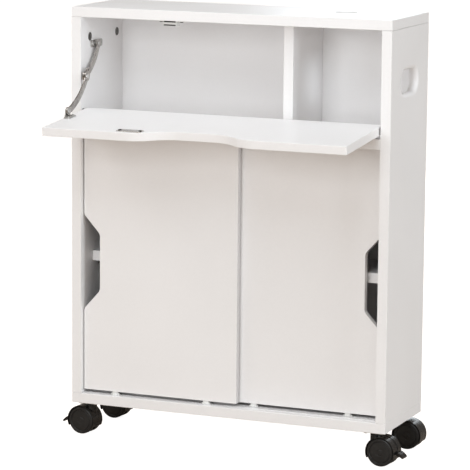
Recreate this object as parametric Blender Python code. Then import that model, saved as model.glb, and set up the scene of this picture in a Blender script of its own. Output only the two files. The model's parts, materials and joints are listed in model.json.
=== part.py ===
"""Slim rolling sewing cabinet with a drop-down work flap, two sliding doors and four twin-wheel casters.

Units are metres and +Z is up. The origin is on the floor, under the middle of the cabinet and its flap.
X runs from left to right across the front, and Y runs from the front to the back.
The flap is modelled let down on its stay, both doors are shut, and the casters stand turned slightly.
"""

from math import acos, asin, atan2, cos, pi, radians, sin, sqrt, tan

import bmesh
import bpy
from mathutils import Matrix, Vector

# Cabinet
WIDTH = 0.600
DEPTH = 0.193
BODY_HEIGHT = 0.716
BOARD = 0.018
EASE = 0.0007  # eased edges of every board
SEAT = 0.0003  # clearance between two pieces that touch
BACK_THICK = 0.003
BACK_INSET = 0.0155  # from the rear edge to the back panel
GROOVE_DEPTH = 0.006
COMPARTMENT_HEIGHT = 0.1854  # between the fixed shelf and the top panel
DIVIDER_FROM_RIGHT = 0.190  # outer right side to the right face of the divider
DIVIDER_SETBACK = 0.030

# Openings
CABLE_HOLE_DIAMETER = 0.039
CABLE_HOLE_FROM_RIGHT = 0.125
CABLE_HOLE_FROM_FRONT = 0.116
HAND_HOLE_LENGTH = 0.090
HAND_HOLE_HEIGHT = 0.046
HAND_HOLE_CORNER = 0.020
HAND_HOLE_DROP = 0.112  # its middle below the top of the body

# Drop-down flap
FLAP_THICK = 0.015
FLAP_SIDE_GAP = 0.0025
FLAP_LOWER_GAP = 0.0032
FLAP_UPPER_GAP = 0.0013
FLAP_OPEN_ANGLE = radians(94.9)
PIVOT_SETBACK = 0.009
PIVOT_RISE = 0.0156  # pivot above the fixed shelf
PIVOT_PIN_RADIUS = 0.0025
PIVOT_PIN_HOLD = 0.020
BUSH_FLANGE_RADIUS = 0.0065
BUSH_FLANGE_THICK = 0.0016
BUSH_SPIGOT_RADIUS = 0.0045
BUSH_SPIGOT_LENGTH = 0.009
FLAP_NOTCH_MOUTH = 0.192
FLAP_NOTCH_FLAT = 0.108
FLAP_NOTCH_DEPTH = 0.030
FLAP_NOTCH_OFFSET = -0.004

# Flap stay
STAY_SETBACK = 0.060  # wall pivot behind the front
STAY_DROP = 0.051  # wall pivot below the top panel
STAY_LUG_HEIGHT = 0.0767  # flap pivot of the stay along the flap from the hinge
STAY_LUG_STAND = 0.011  # flap pivot of the stay off the flap's inner face
STAY_SLACK = 1.003  # both arms together over the distance between their pivots, flap let down
STAY_UPPER_SHARE = 0.4525
STAY_PLATE = 0.002
STAY_ARM_THICK = 0.0022
STAY_ARM_GAP = 0.0025  # wall bracket to upper arm
STAY_ARM_APART = 0.0012  # upper arm to lower arm
STAY_ARM_HALF_WIDTH = 0.005
STAY_ARM_BOW = 0.0075
STAY_EYE_RADIUS = 0.0070
STAY_ELBOW_RADIUS = 0.0085
STAY_EAR_FOOT = 0.0105  # half the foot of the flap bracket's ear
STAY_STUD_RADIUS = 0.0025
STAY_HEAD_RADIUS = 0.0045
STAY_HEAD_THICK = 0.0015
WALL_BRACKET_LENGTH = 0.046
WALL_BRACKET_HEIGHT = 0.013
WALL_BRACKET_SHIFT = 0.002  # its middle behind the wall pivot
WALL_BRACKET_CORNER = 0.004
FLAP_BRACKET_LENGTH = 0.028
FLAP_BRACKET_WIDTH = 0.012
FLAP_BRACKET_CORNER = 0.002

# Magnetic catch
CATCH_OFFSET = -0.118  # from the middle of the cabinet
CATCH_SETBACK = 0.0023  # catch body behind the shut flap
CATCH_BODY = (0.026, 0.0155, 0.0107)
CATCH_POCKET = (0.0226, 0.0135, 0.0082)
CATCH_POCKET_DROP = 0.0016
CATCH_EAR_LENGTH = 0.050
CATCH_EAR_DEPTH = 0.0105
CATCH_EAR_THICK = 0.0021
CATCH_EAR_CORNER = 0.0045
POLE_PLATE_THICK = 0.0016
STRIKE_LENGTH = 0.047
STRIKE_WIDTH = 0.0165
STRIKE_THICK = 0.0012
STRIKE_FROM_EDGE = 0.0040
STRIKE_CORNER = 0.003

# Sliding doors
DOOR_THICK = 0.012
DOOR_FRONT_SETBACK = 0.010
DOOR_APART = 0.004  # gap between the two doors, front to back
DOOR_OVERLAP = 0.035
DOOR_END_GAP = 0.0018
DOOR_LIFT = 0.0067  # door above the bottom panel
DOOR_ENTRY = 0.0040  # door top inside its track under the shelf
DOOR_TRACK_CLEARANCE = 0.0006  # on each face of the door
DOOR_TRACK_DEPTH = 0.0065
DOOR_NOTCH_MOUTH = 0.171
DOOR_NOTCH_FLAT = 0.103
DOOR_NOTCH_DEPTH = 0.031
DOOR_NOTCH_RISE = 0.2405  # its middle above the bottom panel
DOOR_NOTCH_CORNER = 0.012
GLIDE_INSET = 0.060
GLIDE_SIZE = (0.020, 0.009)
GLIDE_FIN_LENGTH = 0.016
GLIDE_FIN_WIDTH = 0.0034
GLIDE_FIN_REACH = 0.0035
GLIDE_GROOVE_WIDTH = 0.0050
GLIDE_GROOVE_DEPTH = 0.0050
GLIDE_PEG_RADIUS = 0.0030
GLIDE_PEG_LENGTH = 0.010

# Inner shelf and its pins
INNER_SHELF_RISE = 0.2364  # underside above the bottom panel
INNER_SHELF_SETBACK = 0.048
INNER_SHELF_SIDE_GAP = 0.0006
SHELF_PIN_RADIUS = 0.0025
SHELF_PIN_HOLD = 0.009
SHELF_PIN_REACH = 0.009
SHELF_PIN_COLLAR_RADIUS = 0.0045
SHELF_PIN_COLLAR_THICK = 0.0012
SHELF_PIN_COLLAR_CORNER = 0.0015
SHELF_PIN_INSET = 0.026

# Cam locks
CAM_RADIUS = 0.0075
CAM_DEPTH = 0.0120
CAM_SLOT_ARM = 0.0047
CAM_SLOT_HALF_WIDTH = 0.0011
CAM_SLOT_DEPTH = 0.0030
CAM_DROP = 0.0373  # below the top panel
CAM_FRONT_SETBACK = 0.0381
CAM_REAR_SETBACK = 0.0414  # from the rear edge

# Casters
CASTER_RISE = 0.011  # bottom panel above the wheels
CASTER_INSET_X = 0.026
CASTER_INSET_Y = 0.028
CASTER_TRAIL = 0.014
CASTER_TURNS = {"front_left": 175, "front_right": -5, "rear_left": 176, "rear_right": -1}
WHEEL_RADIUS = 0.025
WHEEL_WIDTH = 0.0117
WHEEL_EDGE = 0.002
WHEEL_RIM_RADIUS = 0.0205  # inner edge of the flat rim
WHEEL_DISH_RADIUS = 0.019
WHEEL_DISH_DEPTH = 0.0012
WHEEL_CAP_RADIUS = 0.0075
WHEEL_CAP_DEPTH = 0.0004
WEB_THICK = 0.0080
WHEEL_SIDE_GAP = 0.0004
AXLE_RADIUS = 0.003
AXLE_HOLD = 0.0075
HOOD_WALL = 0.0014
HOOD_CLEARANCE = 0.0010
HOOD_SKIRT = 0.011  # lower edge of the hood under the axle
STEM_RADIUS = 0.004
STEM_HOUSING_RADIUS = 0.010
STEM_HOUSING_BASE = 0.006  # its lower end above the axle
STEM_COLLAR_RADIUS = 0.0075
STEM_HOLD = 0.013
SWIVEL_GAP = 0.0045
CASTER_PLATE_SIZE = 0.038
CASTER_PLATE_THICK = 0.0022
CASTER_PLATE_CORNER = 0.004
BRAKE_PIVOT_GAP = 0.0046  # brake pivot behind the hood
BRAKE_PIVOT_DROP = 0.001
BRAKE_PIN_RADIUS = 0.0014
BRAKE_CHEEK_RADIUS = 0.0034
BRAKE_HALF_WIDTH = 0.0085
BRAKE_TAB_REACH = 0.0095
BRAKE_TAB_DROP = 0.0050
BRAKE_TAB_THICK = 0.0020
BRAKE_CHEEK_FROM = radians(68)  # the round back of the lever, as angles about its pin
BRAKE_CHEEK_TO = radians(261)
BRAKE_LUG_HALF = 0.0027
BRAKE_LUG_OVERLAP = 0.004
BRAKE_LUG_CORNER = 0.0012

# Planes of the cabinet
INNER_WIDTH = WIDTH - 2 * BOARD
LEFT = -WIDTH / 2
RIGHT = WIDTH / 2
LEFT_IN = LEFT + BOARD
RIGHT_IN = RIGHT - BOARD
BASE = 2 * WHEEL_RADIUS + CASTER_RISE
TOP = BASE + BODY_HEIGHT
FLOOR = BASE + BOARD
ROOF = TOP - BOARD
SHELF_TOP = ROOF - COMPARTMENT_HEIGHT
SHELF_UNDER = SHELF_TOP - BOARD
PIVOT_HEIGHT = SHELF_TOP + PIVOT_RISE
FLAP_REACH = ROOF - FLAP_UPPER_GAP - PIVOT_HEIGHT  # hinge to free edge
FLAP_INNER_FACE = FLAP_THICK - PIVOT_SETBACK
FLAP_STANDS_OUT = FLAP_REACH * sin(FLAP_OPEN_ANGLE) - FLAP_INNER_FACE * cos(FLAP_OPEN_ANGLE) - PIVOT_SETBACK
FRONT = (FLAP_STANDS_OUT - DEPTH) / 2
REAR = FRONT + DEPTH
BACK_FACE = REAR - BACK_INSET - BACK_THICK
PIVOT_Y = FRONT + PIVOT_SETBACK


def clear_scene():
    for thing in list(bpy.data.objects):
        bpy.data.objects.remove(thing, do_unlink=True)


def finish(name, colour, roughness, metallic=0.0):
    material = bpy.data.materials.new(name)
    material.use_nodes = True
    shader = material.node_tree.nodes["Principled BSDF"]
    shader.inputs["Base Color"].default_value = (*colour, 1.0)
    shader.inputs["Roughness"].default_value = roughness
    shader.inputs["Metallic"].default_value = metallic
    return material


def empty(name, location, rotation=(0, 0, 0)):
    pivot = bpy.data.objects.new(name, None)
    pivot.location = location
    pivot.rotation_euler = rotation
    bpy.context.collection.objects.link(pivot)
    return pivot


# Outlines, as lists of two coordinates

def arc(centre, radius, start, end, steps):
    """Points on a circle from one angle to another, both included."""
    angles = [start + (end - start) * i / steps for i in range(steps + 1)]
    return [(centre[0] + radius * cos(a), centre[1] + radius * sin(a)) for a in angles]


def filleted(corners, steps=5):
    """A closed outline through corners (a, b, radius), each rounded to its radius."""
    points = []
    for i, (a, b, radius) in enumerate(corners):
        corner = Vector((a, b))
        if radius == 0:
            points.append((a, b))
            continue
        before = (Vector(corners[i - 1][:2]) - corner).normalized()
        after = (Vector(corners[(i + 1) % len(corners)][:2]) - corner).normalized()
        half = before.angle(after) / 2
        centre = corner + (before + after).normalized() * radius / sin(half)
        start = corner + before * radius / tan(half) - centre
        turn = start.angle_signed(corner + after * radius / tan(half) - centre)
        first = atan2(start.y, start.x)
        points += arc(centre, radius, first, first - turn, steps)
    return points


def rectangle(low, high, radius=0.0, steps=5):
    (a0, b0), (a1, b1) = low, high
    return filleted([(a0, b0, radius), (a1, b0, radius), (a1, b1, radius), (a0, b1, radius)], steps)


# Solids, each a bmesh with one or more closed bodies

AXES = {
    "x": lambda a, b, along: (along, a, b),
    "y": lambda a, b, along: (a, along, b),
    "z": lambda a, b, along: (a, b, along),
}


def prism(outline, axis, low, high):
    """An outline in the other two axes, in X, Y, Z order, extruded along one axis."""
    solid = bmesh.new()
    place = AXES[axis]
    cap = solid.faces.new([solid.verts.new(place(a, b, low)) for a, b in outline])
    side = bmesh.ops.extrude_face_region(solid, geom=[cap])
    moved = [v for v in side["geom"] if isinstance(v, bmesh.types.BMVert)]
    bmesh.ops.translate(solid, verts=moved, vec=place(0, 0, high - low))
    bmesh.ops.recalc_face_normals(solid, faces=solid.faces)
    return solid


def block(low, high):
    solid = bmesh.new()
    size = Vector(high) - Vector(low)
    middle = (Vector(high) + Vector(low)) / 2
    bmesh.ops.create_cube(solid, size=1, matrix=Matrix.Translation(middle) @ Matrix.Diagonal((*size, 1)))
    return solid


def rod(centre, axis, radius, low, high, sides=16):
    """A cylinder along one axis; centre holds its other two coordinates."""
    return prism(arc(centre, radius, 0, 2 * pi * (sides - 1) / sides, sides - 1), axis, low, high)


def turned(profile, sides=20):
    """A profile of (radius, height) points turned about Y, with the heights along Y."""
    solid = bmesh.new()
    verts = [solid.verts.new((radius, height, 0)) for radius, height in profile]
    edges = [solid.edges.new(pair) for pair in zip(verts, verts[1:])]
    bmesh.ops.spin(solid, geom=verts + edges, cent=(0, 0, 0), axis=(0, 1, 0), angle=2 * pi, steps=sides,
                   use_merge=True)
    bmesh.ops.remove_doubles(solid, verts=solid.verts, dist=1e-6)
    bmesh.ops.recalc_face_normals(solid, faces=solid.faces)
    return solid


def together(*solids):
    """Several solids in one bmesh, still as separate bodies."""
    whole = bmesh.new()
    for solid in solids:
        mesh = bpy.data.meshes.new("part")
        solid.to_mesh(mesh)
        solid.free()
        whole.from_mesh(mesh)
        bpy.data.meshes.remove(mesh)
    return whole


def eased(solid, width=EASE, sharper_than=radians(50)):
    """Bevel the sharp edges of a solid."""
    edges = [e for e in solid.edges if e.calc_face_angle(0) > sharper_than]
    bmesh.ops.bevel(solid, geom=edges, offset=width, segments=1, profile=0.5, affect="EDGES", material=-1)
    return solid


def piece(name, solid, material, parent=None, round_off=False):
    """Make one named object from a solid, with its origin on its parent."""
    mesh = bpy.data.meshes.new(name)
    solid.to_mesh(mesh)
    solid.free()
    mesh.materials.append(material)
    if round_off:
        mesh.shade_smooth()
        mesh.set_sharp_from_angle(angle=radians(35))
    made = bpy.data.objects.new(name, mesh)
    made.parent = parent
    bpy.context.collection.objects.link(made)
    return made


def combine(target, operation, solid):
    """Cut a solid from a piece, or join it on."""
    helper = piece(f"{target.name}_{operation.lower()}", solid, target.data.materials[0], target.parent)
    helper.location = target.location
    helper.hide_render = True
    helper.display_type = "WIRE"
    step = target.modifiers.new(operation.lower(), "BOOLEAN")
    step.operation = operation
    step.solver = "EXACT"
    step.object = helper


def cut(target, *solids):
    combine(target, "DIFFERENCE", together(*solids))


def join(target, *solids):
    combine(target, "UNION", together(*solids))


clear_scene()
WHITE_BOARD = finish("white_board", (0.86, 0.86, 0.84), 0.42)
WHITE_PLASTIC = finish("white_plastic", (0.85, 0.85, 0.83), 0.35)
BLACK_PLASTIC = finish("black_plastic", (0.025, 0.024, 0.023), 0.38)
DARK_RUBBER = finish("dark_wheel", (0.035, 0.033, 0.031), 0.50)
STEEL = finish("steel", (0.38, 0.36, 0.34), 0.38, 1.0)
ZINC = finish("zinc", (0.52, 0.51, 0.49), 0.45, 1.0)
MAGNET = finish("magnet", (0.10, 0.10, 0.10), 0.60)


# Cabinet boards

def back_groove_cutter():
    """The back panel with clearance all round, which cuts its groove in the four boards about it."""
    low = (LEFT_IN - GROOVE_DEPTH, BACK_FACE - SEAT, FLOOR - GROOVE_DEPTH)
    high = (RIGHT_IN + GROOVE_DEPTH, BACK_FACE + BACK_THICK + SEAT, ROOF + GROOVE_DEPTH)
    return block(low, high)


def door_plane(track):
    """Front face of the door in track 0, in front, or 1, behind it."""
    return FRONT + DOOR_FRONT_SETBACK + track * (DOOR_THICK + DOOR_APART)


def door_middle(track):
    return door_plane(track) + DOOR_THICK / 2


def make_top_panel():
    panel = piece("top_panel", eased(block((LEFT, FRONT, ROOF), (RIGHT, REAR, TOP))), WHITE_BOARD)
    hole = (RIGHT - CABLE_HOLE_FROM_RIGHT, FRONT + CABLE_HOLE_FROM_FRONT)
    cable_hole = rod(hole, "z", CABLE_HOLE_DIAMETER / 2, ROOF - BOARD, TOP + BOARD, 40)
    cut(panel, back_groove_cutter(), cable_hole)


def make_bottom_panel():
    panel = piece("bottom_panel", eased(block((LEFT, FRONT, BASE), (RIGHT, REAR, FLOOR))), WHITE_BOARD)
    grooves = []
    for track in (0, 1):
        middle = door_middle(track)
        low = (LEFT_IN, middle - GLIDE_GROOVE_WIDTH / 2, FLOOR - GLIDE_GROOVE_DEPTH)
        high = (RIGHT_IN, middle + GLIDE_GROOVE_WIDTH / 2, FLOOR + BOARD)
        grooves.append(block(low, high))
    cut(panel, back_groove_cutter(), *grooves)


def side_bores(inner_face, inward):
    """Blind bores in a side panel: pivot bush, cam locks and shelf pins. inward is +1 or -1 along X."""

    def bore(place, radius, depth):
        ends = sorted((inner_face - inward * depth, inner_face + inward * BOARD))
        return rod(place, "x", radius, *ends)

    bores = [bore((PIVOT_Y, PIVOT_HEIGHT), BUSH_SPIGOT_RADIUS + SEAT, BUSH_SPIGOT_LENGTH + 2 * SEAT)]
    for y in cam_rows():
        bores.append(bore((y, ROOF - CAM_DROP), CAM_RADIUS + SEAT, CAM_DEPTH + SEAT))
    for y in shelf_pin_rows():
        bores.append(bore((y, shelf_pin_height()), SHELF_PIN_RADIUS + SEAT, SHELF_PIN_HOLD + SEAT))
    return bores


def cam_rows():
    return (FRONT + CAM_FRONT_SETBACK, REAR - CAM_REAR_SETBACK)


def shelf_pin_rows():
    return (FRONT + INNER_SHELF_SETBACK + SHELF_PIN_INSET, BACK_FACE - SHELF_PIN_INSET)


def shelf_pin_height():
    return FLOOR + INNER_SHELF_RISE - SEAT - SHELF_PIN_RADIUS


def make_side_panel(name, low_x, inward):
    low = (low_x, FRONT, FLOOR + SEAT)
    high = (low_x + BOARD, REAR, ROOF - SEAT)
    panel = piece(name, eased(block(low, high)), WHITE_BOARD)
    inner_face = low_x + BOARD if inward > 0 else low_x
    cutters = [back_groove_cutter(), *side_bores(inner_face, inward)]
    if inward < 0:
        y = (FRONT + REAR) / 2
        z = TOP - HAND_HOLE_DROP
        low = (y - HAND_HOLE_LENGTH / 2, z - HAND_HOLE_HEIGHT / 2)
        high = (y + HAND_HOLE_LENGTH / 2, z + HAND_HOLE_HEIGHT / 2)
        opening = rectangle(low, high, HAND_HOLE_CORNER, 8)
        cutters.append(prism(opening, "x", low_x - BOARD, low_x + 2 * BOARD))
    cut(panel, *cutters)


def make_fixed_shelf():
    low = (LEFT_IN + SEAT, FRONT, SHELF_UNDER)
    high = (RIGHT_IN - SEAT, BACK_FACE - SEAT, SHELF_TOP)
    shelf = piece("fixed_shelf", eased(block(low, high)), WHITE_BOARD)
    tracks = []
    half = DOOR_THICK / 2 + DOOR_TRACK_CLEARANCE
    for track in (0, 1):
        middle = door_middle(track)
        low = (LEFT, middle - half, SHELF_UNDER - BOARD)
        high = (RIGHT, middle + half, SHELF_UNDER + DOOR_TRACK_DEPTH)
        tracks.append(block(low, high))
    cut(shelf, *tracks)


def make_divider():
    right_face = RIGHT - DIVIDER_FROM_RIGHT
    low = (right_face - BOARD, FRONT + DIVIDER_SETBACK, SHELF_TOP + SEAT)
    high = (right_face, BACK_FACE - SEAT, ROOF - SEAT)
    piece("divider", eased(block(low, high)), WHITE_BOARD)


def make_back_panel():
    inset = GROOVE_DEPTH - SEAT
    low = (LEFT_IN - inset, BACK_FACE, FLOOR - inset)
    high = (RIGHT_IN + inset, BACK_FACE + BACK_THICK, ROOF + inset)
    piece("back_panel", block(low, high), WHITE_BOARD)


def make_inner_shelf():
    low = (LEFT_IN + INNER_SHELF_SIDE_GAP, FRONT + INNER_SHELF_SETBACK, FLOOR + INNER_SHELF_RISE)
    high = (RIGHT_IN - INNER_SHELF_SIDE_GAP, BACK_FACE - SEAT, FLOOR + INNER_SHELF_RISE + BOARD)
    piece("inner_shelf", eased(block(low, high)), WHITE_BOARD)


# Hardware in the side panels

def make_shelf_pin(name, inner_face, inward, y):
    reach = inner_face + inward * SHELF_PIN_REACH
    hold = inner_face - inward * SHELF_PIN_HOLD
    place = (y, shelf_pin_height())
    pin = piece(name, rod(place, "x", SHELF_PIN_RADIUS, *sorted((hold, reach)), 12), ZINC, round_off=True)
    near = inner_face + inward * SEAT
    far = near + inward * SHELF_PIN_COLLAR_THICK
    room = SHELF_PIN_RADIUS - EASE / 2
    collar = rectangle((y - SHELF_PIN_COLLAR_RADIUS, place[1] - SHELF_PIN_COLLAR_RADIUS),
                       (y + SHELF_PIN_COLLAR_RADIUS, place[1] + room), SHELF_PIN_COLLAR_CORNER, 3)
    join(pin, prism(collar, "x", *sorted((near, far))))


def make_cam_lock(name, inner_face, inward, y):
    place = (y, ROOF - CAM_DROP)
    ends = sorted((inner_face - inward * CAM_DEPTH, inner_face))
    lock = piece(name, rod(place, "x", CAM_RADIUS, *ends, 22), ZINC, round_off=True)
    arm = CAM_SLOT_ARM
    slot = CAM_SLOT_HALF_WIDTH
    outline = [(arm, -slot), (arm, slot), (slot, slot), (slot, arm), (-slot, arm), (-slot, slot),
               (-arm, slot), (-arm, -slot), (-slot, -slot), (-slot, -arm), (slot, -arm), (slot, -slot)]
    cross = [(place[0] + a, place[1] + b) for a, b in outline]
    ends = sorted((inner_face - inward * CAM_SLOT_DEPTH, inner_face + inward * CAM_SLOT_DEPTH))
    cut(lock, prism(cross, "x", *ends))


def make_pivot_bush(name, inner_face, inward):
    """A flanged bush in the side panel that the flap's pin turns in."""
    place = (PIVOT_Y, PIVOT_HEIGHT)
    near = inner_face + inward * SEAT
    far = near + inward * BUSH_FLANGE_THICK
    bush = piece(name, rod(place, "x", BUSH_FLANGE_RADIUS, *sorted((near, far)), 22), BLACK_PLASTIC,
                 round_off=True)
    back = inner_face - inward * BUSH_SPIGOT_LENGTH
    inside = near + inward * BUSH_FLANGE_THICK / 2
    join(bush, rod(place, "x", BUSH_SPIGOT_RADIUS, *sorted((back, inside)), 14))
    ends = sorted((back - inward * SEAT, far + inward * BUSH_FLANGE_THICK))
    cut(bush, rod(place, "x", PIVOT_PIN_RADIUS + SEAT, *ends, 14))


def make_side_hardware():
    for side, inner_face, inward in (("left", LEFT_IN, 1), ("right", RIGHT_IN, -1)):
        make_pivot_bush(f"pivot_bush_{side}", inner_face, inward)
        for place, y in zip(("front", "rear"), cam_rows()):
            make_cam_lock(f"cam_lock_{side}_{place}", inner_face, inward, y)
        for place, y in zip(("front", "rear"), shelf_pin_rows()):
            make_shelf_pin(f"shelf_pin_{side}_{place}", inner_face, inward, y)


# Sliding doors, each moved by an empty at its own place

def door_width():
    return (INNER_WIDTH + DOOR_OVERLAP) / 2 - DOOR_END_GAP


def door_outline(width, bottom, top, notch_side):
    """Door outline from its lower left corner, with a finger notch in one edge. notch_side is -1 or +1."""
    middle = FLOOR + DOOR_NOTCH_RISE
    places = ((0, DOOR_NOTCH_MOUTH / 2), (DOOR_NOTCH_DEPTH, DOOR_NOTCH_FLAT / 2),
              (DOOR_NOTCH_DEPTH, -DOOR_NOTCH_FLAT / 2), (0, -DOOR_NOTCH_MOUTH / 2))
    notch = [(x, middle + rise, DOOR_NOTCH_CORNER) for x, rise in places]
    corners = [(0, bottom, 0), (width, bottom, 0), (width, top, 0), (0, top, 0), *notch]
    outline = filleted(corners, 5)
    if notch_side > 0:
        outline = [(width - x, z) for x, z in outline]
    return outline


def make_door(side, track, notch_side):
    width = door_width()
    start = LEFT_IN + DOOR_END_GAP if notch_side < 0 else RIGHT_IN - DOOR_END_GAP - width
    carrier = empty(f"{side}_door_place", (start, door_plane(track), 0))
    bottom = FLOOR + DOOR_LIFT
    outline = door_outline(width, bottom, SHELF_UNDER + DOOR_ENTRY, notch_side)
    door = piece(f"{side}_sliding_door", eased(prism(outline, "y", 0, DOOR_THICK)), WHITE_BOARD, carrier)
    middle = DOOR_THICK / 2
    holes = []
    for end, x in (("left", GLIDE_INSET), ("right", width - GLIDE_INSET)):
        half_x = GLIDE_SIZE[0] / 2
        half_y = GLIDE_SIZE[1] / 2
        body = block((x - half_x, middle - half_y, FLOOR + SEAT),
                     (x + half_x, middle + half_y, bottom - SEAT))
        glide = piece(f"{side}_door_glide_{end}", eased(body, EASE / 2), WHITE_PLASTIC, carrier)
        foot_middle = (FLOOR + bottom) / 2
        half_fin = GLIDE_FIN_LENGTH / 2
        fin_low = (x - half_fin, middle - GLIDE_FIN_WIDTH / 2, FLOOR - GLIDE_FIN_REACH)
        fin_high = (x + half_fin, middle + GLIDE_FIN_WIDTH / 2, foot_middle)
        peg_top = bottom + GLIDE_PEG_LENGTH
        join(glide, block(fin_low, fin_high))
        combine(glide, "UNION", rod((x, middle), "z", GLIDE_PEG_RADIUS, foot_middle + EASE, peg_top, 16))
        radius = GLIDE_PEG_RADIUS + SEAT
        holes.append(rod((x, middle), "z", radius, bottom - DOOR_LIFT, peg_top + SEAT, 16))
    cut(door, *holes)


# Drop-down flap, modelled shut about its pivot and let down by its empty

def make_flap():
    pivot = empty("flap_pivot", (0, PIVOT_Y, PIVOT_HEIGHT), (FLAP_OPEN_ANGLE, 0, 0))
    left = LEFT_IN + FLAP_SIDE_GAP
    right = RIGHT_IN - FLAP_SIDE_GAP
    bottom = FLAP_LOWER_GAP - PIVOT_RISE
    steps = 12

    def ramp(start, end, fall):
        """Half a cosine wave in the free edge, down into the notch where fall is True, or up out of it."""
        points = []
        for i in range(steps + 1):
            share = (1 - cos(pi * i / steps)) / 2
            depth = share if fall else 1 - share
            points.append((start + (end - start) * i / steps, FLAP_REACH - FLAP_NOTCH_DEPTH * depth))
        return points

    mouth = FLAP_NOTCH_MOUTH / 2
    flat = FLAP_NOTCH_FLAT / 2
    middle = FLAP_NOTCH_OFFSET
    outline = [(left, bottom), (right, bottom), (right, FLAP_REACH)]
    outline += ramp(middle + mouth, middle + flat, True)
    outline += ramp(middle - flat, middle - mouth, False)
    outline.append((left, FLAP_REACH))
    solid = eased(prism(outline, "y", -PIVOT_SETBACK, FLAP_INNER_FACE))
    flap = piece("drop_flap", solid, WHITE_BOARD, pivot)
    radius = PIVOT_PIN_RADIUS + SEAT
    hold = PIVOT_PIN_HOLD + SEAT
    cut(flap, rod((0, 0), "x", radius, left - BOARD, left + hold, 14),
        rod((0, 0), "x", radius, right - hold, right + BOARD, 14))
    out = FLAP_SIDE_GAP + BUSH_SPIGOT_LENGTH - SEAT
    pin_left = rod((0, 0), "x", PIVOT_PIN_RADIUS, left - out, left + PIVOT_PIN_HOLD, 16)
    pin_right = rod((0, 0), "x", PIVOT_PIN_RADIUS, right - PIVOT_PIN_HOLD, right + out, 16)
    piece("flap_pin_left", pin_left, ZINC, pivot, round_off=True)
    piece("flap_pin_right", pin_right, ZINC, pivot, round_off=True)
    make_strike(pivot)
    make_flap_bracket(pivot)


def make_strike(pivot):
    low_z = FLAP_REACH - STRIKE_FROM_EDGE - STRIKE_WIDTH
    low = (CATCH_OFFSET - STRIKE_LENGTH / 2, low_z)
    high = (CATCH_OFFSET + STRIKE_LENGTH / 2, low_z + STRIKE_WIDTH)
    face = FLAP_INNER_FACE + SEAT
    strike = prism(rectangle(low, high, STRIKE_CORNER, 4), "y", face, face + STRIKE_THICK)
    piece("strike_plate", strike, ZINC, pivot)


# Flap stay: a wall bracket, two curved arms and a flap bracket, in planes that pass beside each other

STAY_WALL = LEFT_IN + SEAT
STAY_UPPER_X = STAY_WALL + STAY_PLATE + STAY_ARM_GAP
STAY_LOWER_X = STAY_UPPER_X + STAY_ARM_THICK + STAY_ARM_APART
STAY_EAR_X = STAY_LOWER_X - 2 * SEAT - STAY_PLATE
STAY_WALL_PIVOT = Vector((FRONT + STAY_SETBACK, ROOF - STAY_DROP))
STAY_LUG_Y = FLAP_INNER_FACE + STAY_LUG_STAND


def stay_flap_pivot():
    """The stay's pivot on the let-down flap."""
    y = PIVOT_Y + STAY_LUG_Y * cos(FLAP_OPEN_ANGLE) - STAY_LUG_HEIGHT * sin(FLAP_OPEN_ANGLE)
    z = PIVOT_HEIGHT + STAY_LUG_Y * sin(FLAP_OPEN_ANGLE) + STAY_LUG_HEIGHT * cos(FLAP_OPEN_ANGLE)
    return Vector((y, z))


def stay_lengths():
    both = (stay_flap_pivot() - STAY_WALL_PIVOT).length * STAY_SLACK
    return both * STAY_UPPER_SHARE, both * (1 - STAY_UPPER_SHARE)


def stay_elbow():
    """Where the two arms meet, above the line between their far pivots."""
    upper, lower = stay_lengths()
    line = stay_flap_pivot() - STAY_WALL_PIVOT
    bend = acos((upper ** 2 + line.length ** 2 - lower ** 2) / (2 * upper * line.length))
    angle = atan2(line.y, line.x) + bend
    return STAY_WALL_PIVOT + Vector((upper * cos(angle), upper * sin(angle)))


def arm_outline(length, start_radius, end_radius, bow):
    """A bowed bar along the first axis with a round eye at each end."""
    width = STAY_ARM_HALF_WIDTH
    steps = 10
    slope = atan2(4 * bow, length)
    start = sqrt(start_radius ** 2 - width ** 2)
    end = length - sqrt(end_radius ** 2 - width ** 2)
    near = [start + (end - start) * i / steps for i in range(1, steps)]

    def side(offset):
        points = []
        for x in near:
            tilt = -atan2(4 * bow * (1 - 2 * x / length), length)
            y = -4 * bow * x / length * (1 - x / length)
            points.append((x - offset * sin(tilt), y + offset * cos(tilt)))
        return points

    meet_start = asin(width / start_radius)
    meet_end = asin(width / end_radius)
    outline = arc((0, 0), start_radius, meet_start - slope, 2 * pi - meet_start - slope, 12)
    outline += side(-width)
    outline += arc((length, 0), end_radius, slope - pi + meet_end, slope + pi - meet_end, 12)
    outline += side(width)[::-1]
    return outline


def make_stay_arm(name, start, end, x, radii, bow, hole_at):
    """An arm from one pivot to the other, with a running hole at one of them."""
    line = end - start
    turn = empty(f"{name}_pivot", (x, start.x, start.y), (atan2(line.y, line.x), 0, 0))
    arm = piece(name, prism(arm_outline(line.length, *radii, bow), "x", 0, STAY_ARM_THICK), STEEL, turn)
    radius = STAY_STUD_RADIUS + SEAT
    holes = [rod((place * line.length, 0), "x", radius, -STAY_ARM_THICK, 2 * STAY_ARM_THICK, 14)
             for place in hole_at]
    cut(arm, *holes)


def make_stay():
    elbow = stay_elbow()
    make_stay_arm("stay_upper_arm", STAY_WALL_PIVOT, elbow, STAY_UPPER_X,
                  (STAY_EYE_RADIUS, STAY_ELBOW_RADIUS), -STAY_ARM_BOW, (0,))
    make_stay_arm("stay_lower_arm", stay_flap_pivot(), elbow, STAY_LOWER_X,
                  (STAY_EYE_RADIUS, STAY_ELBOW_RADIUS), STAY_ARM_BOW, (0, 1))
    make_elbow_rivet(elbow)
    make_wall_bracket()


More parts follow.
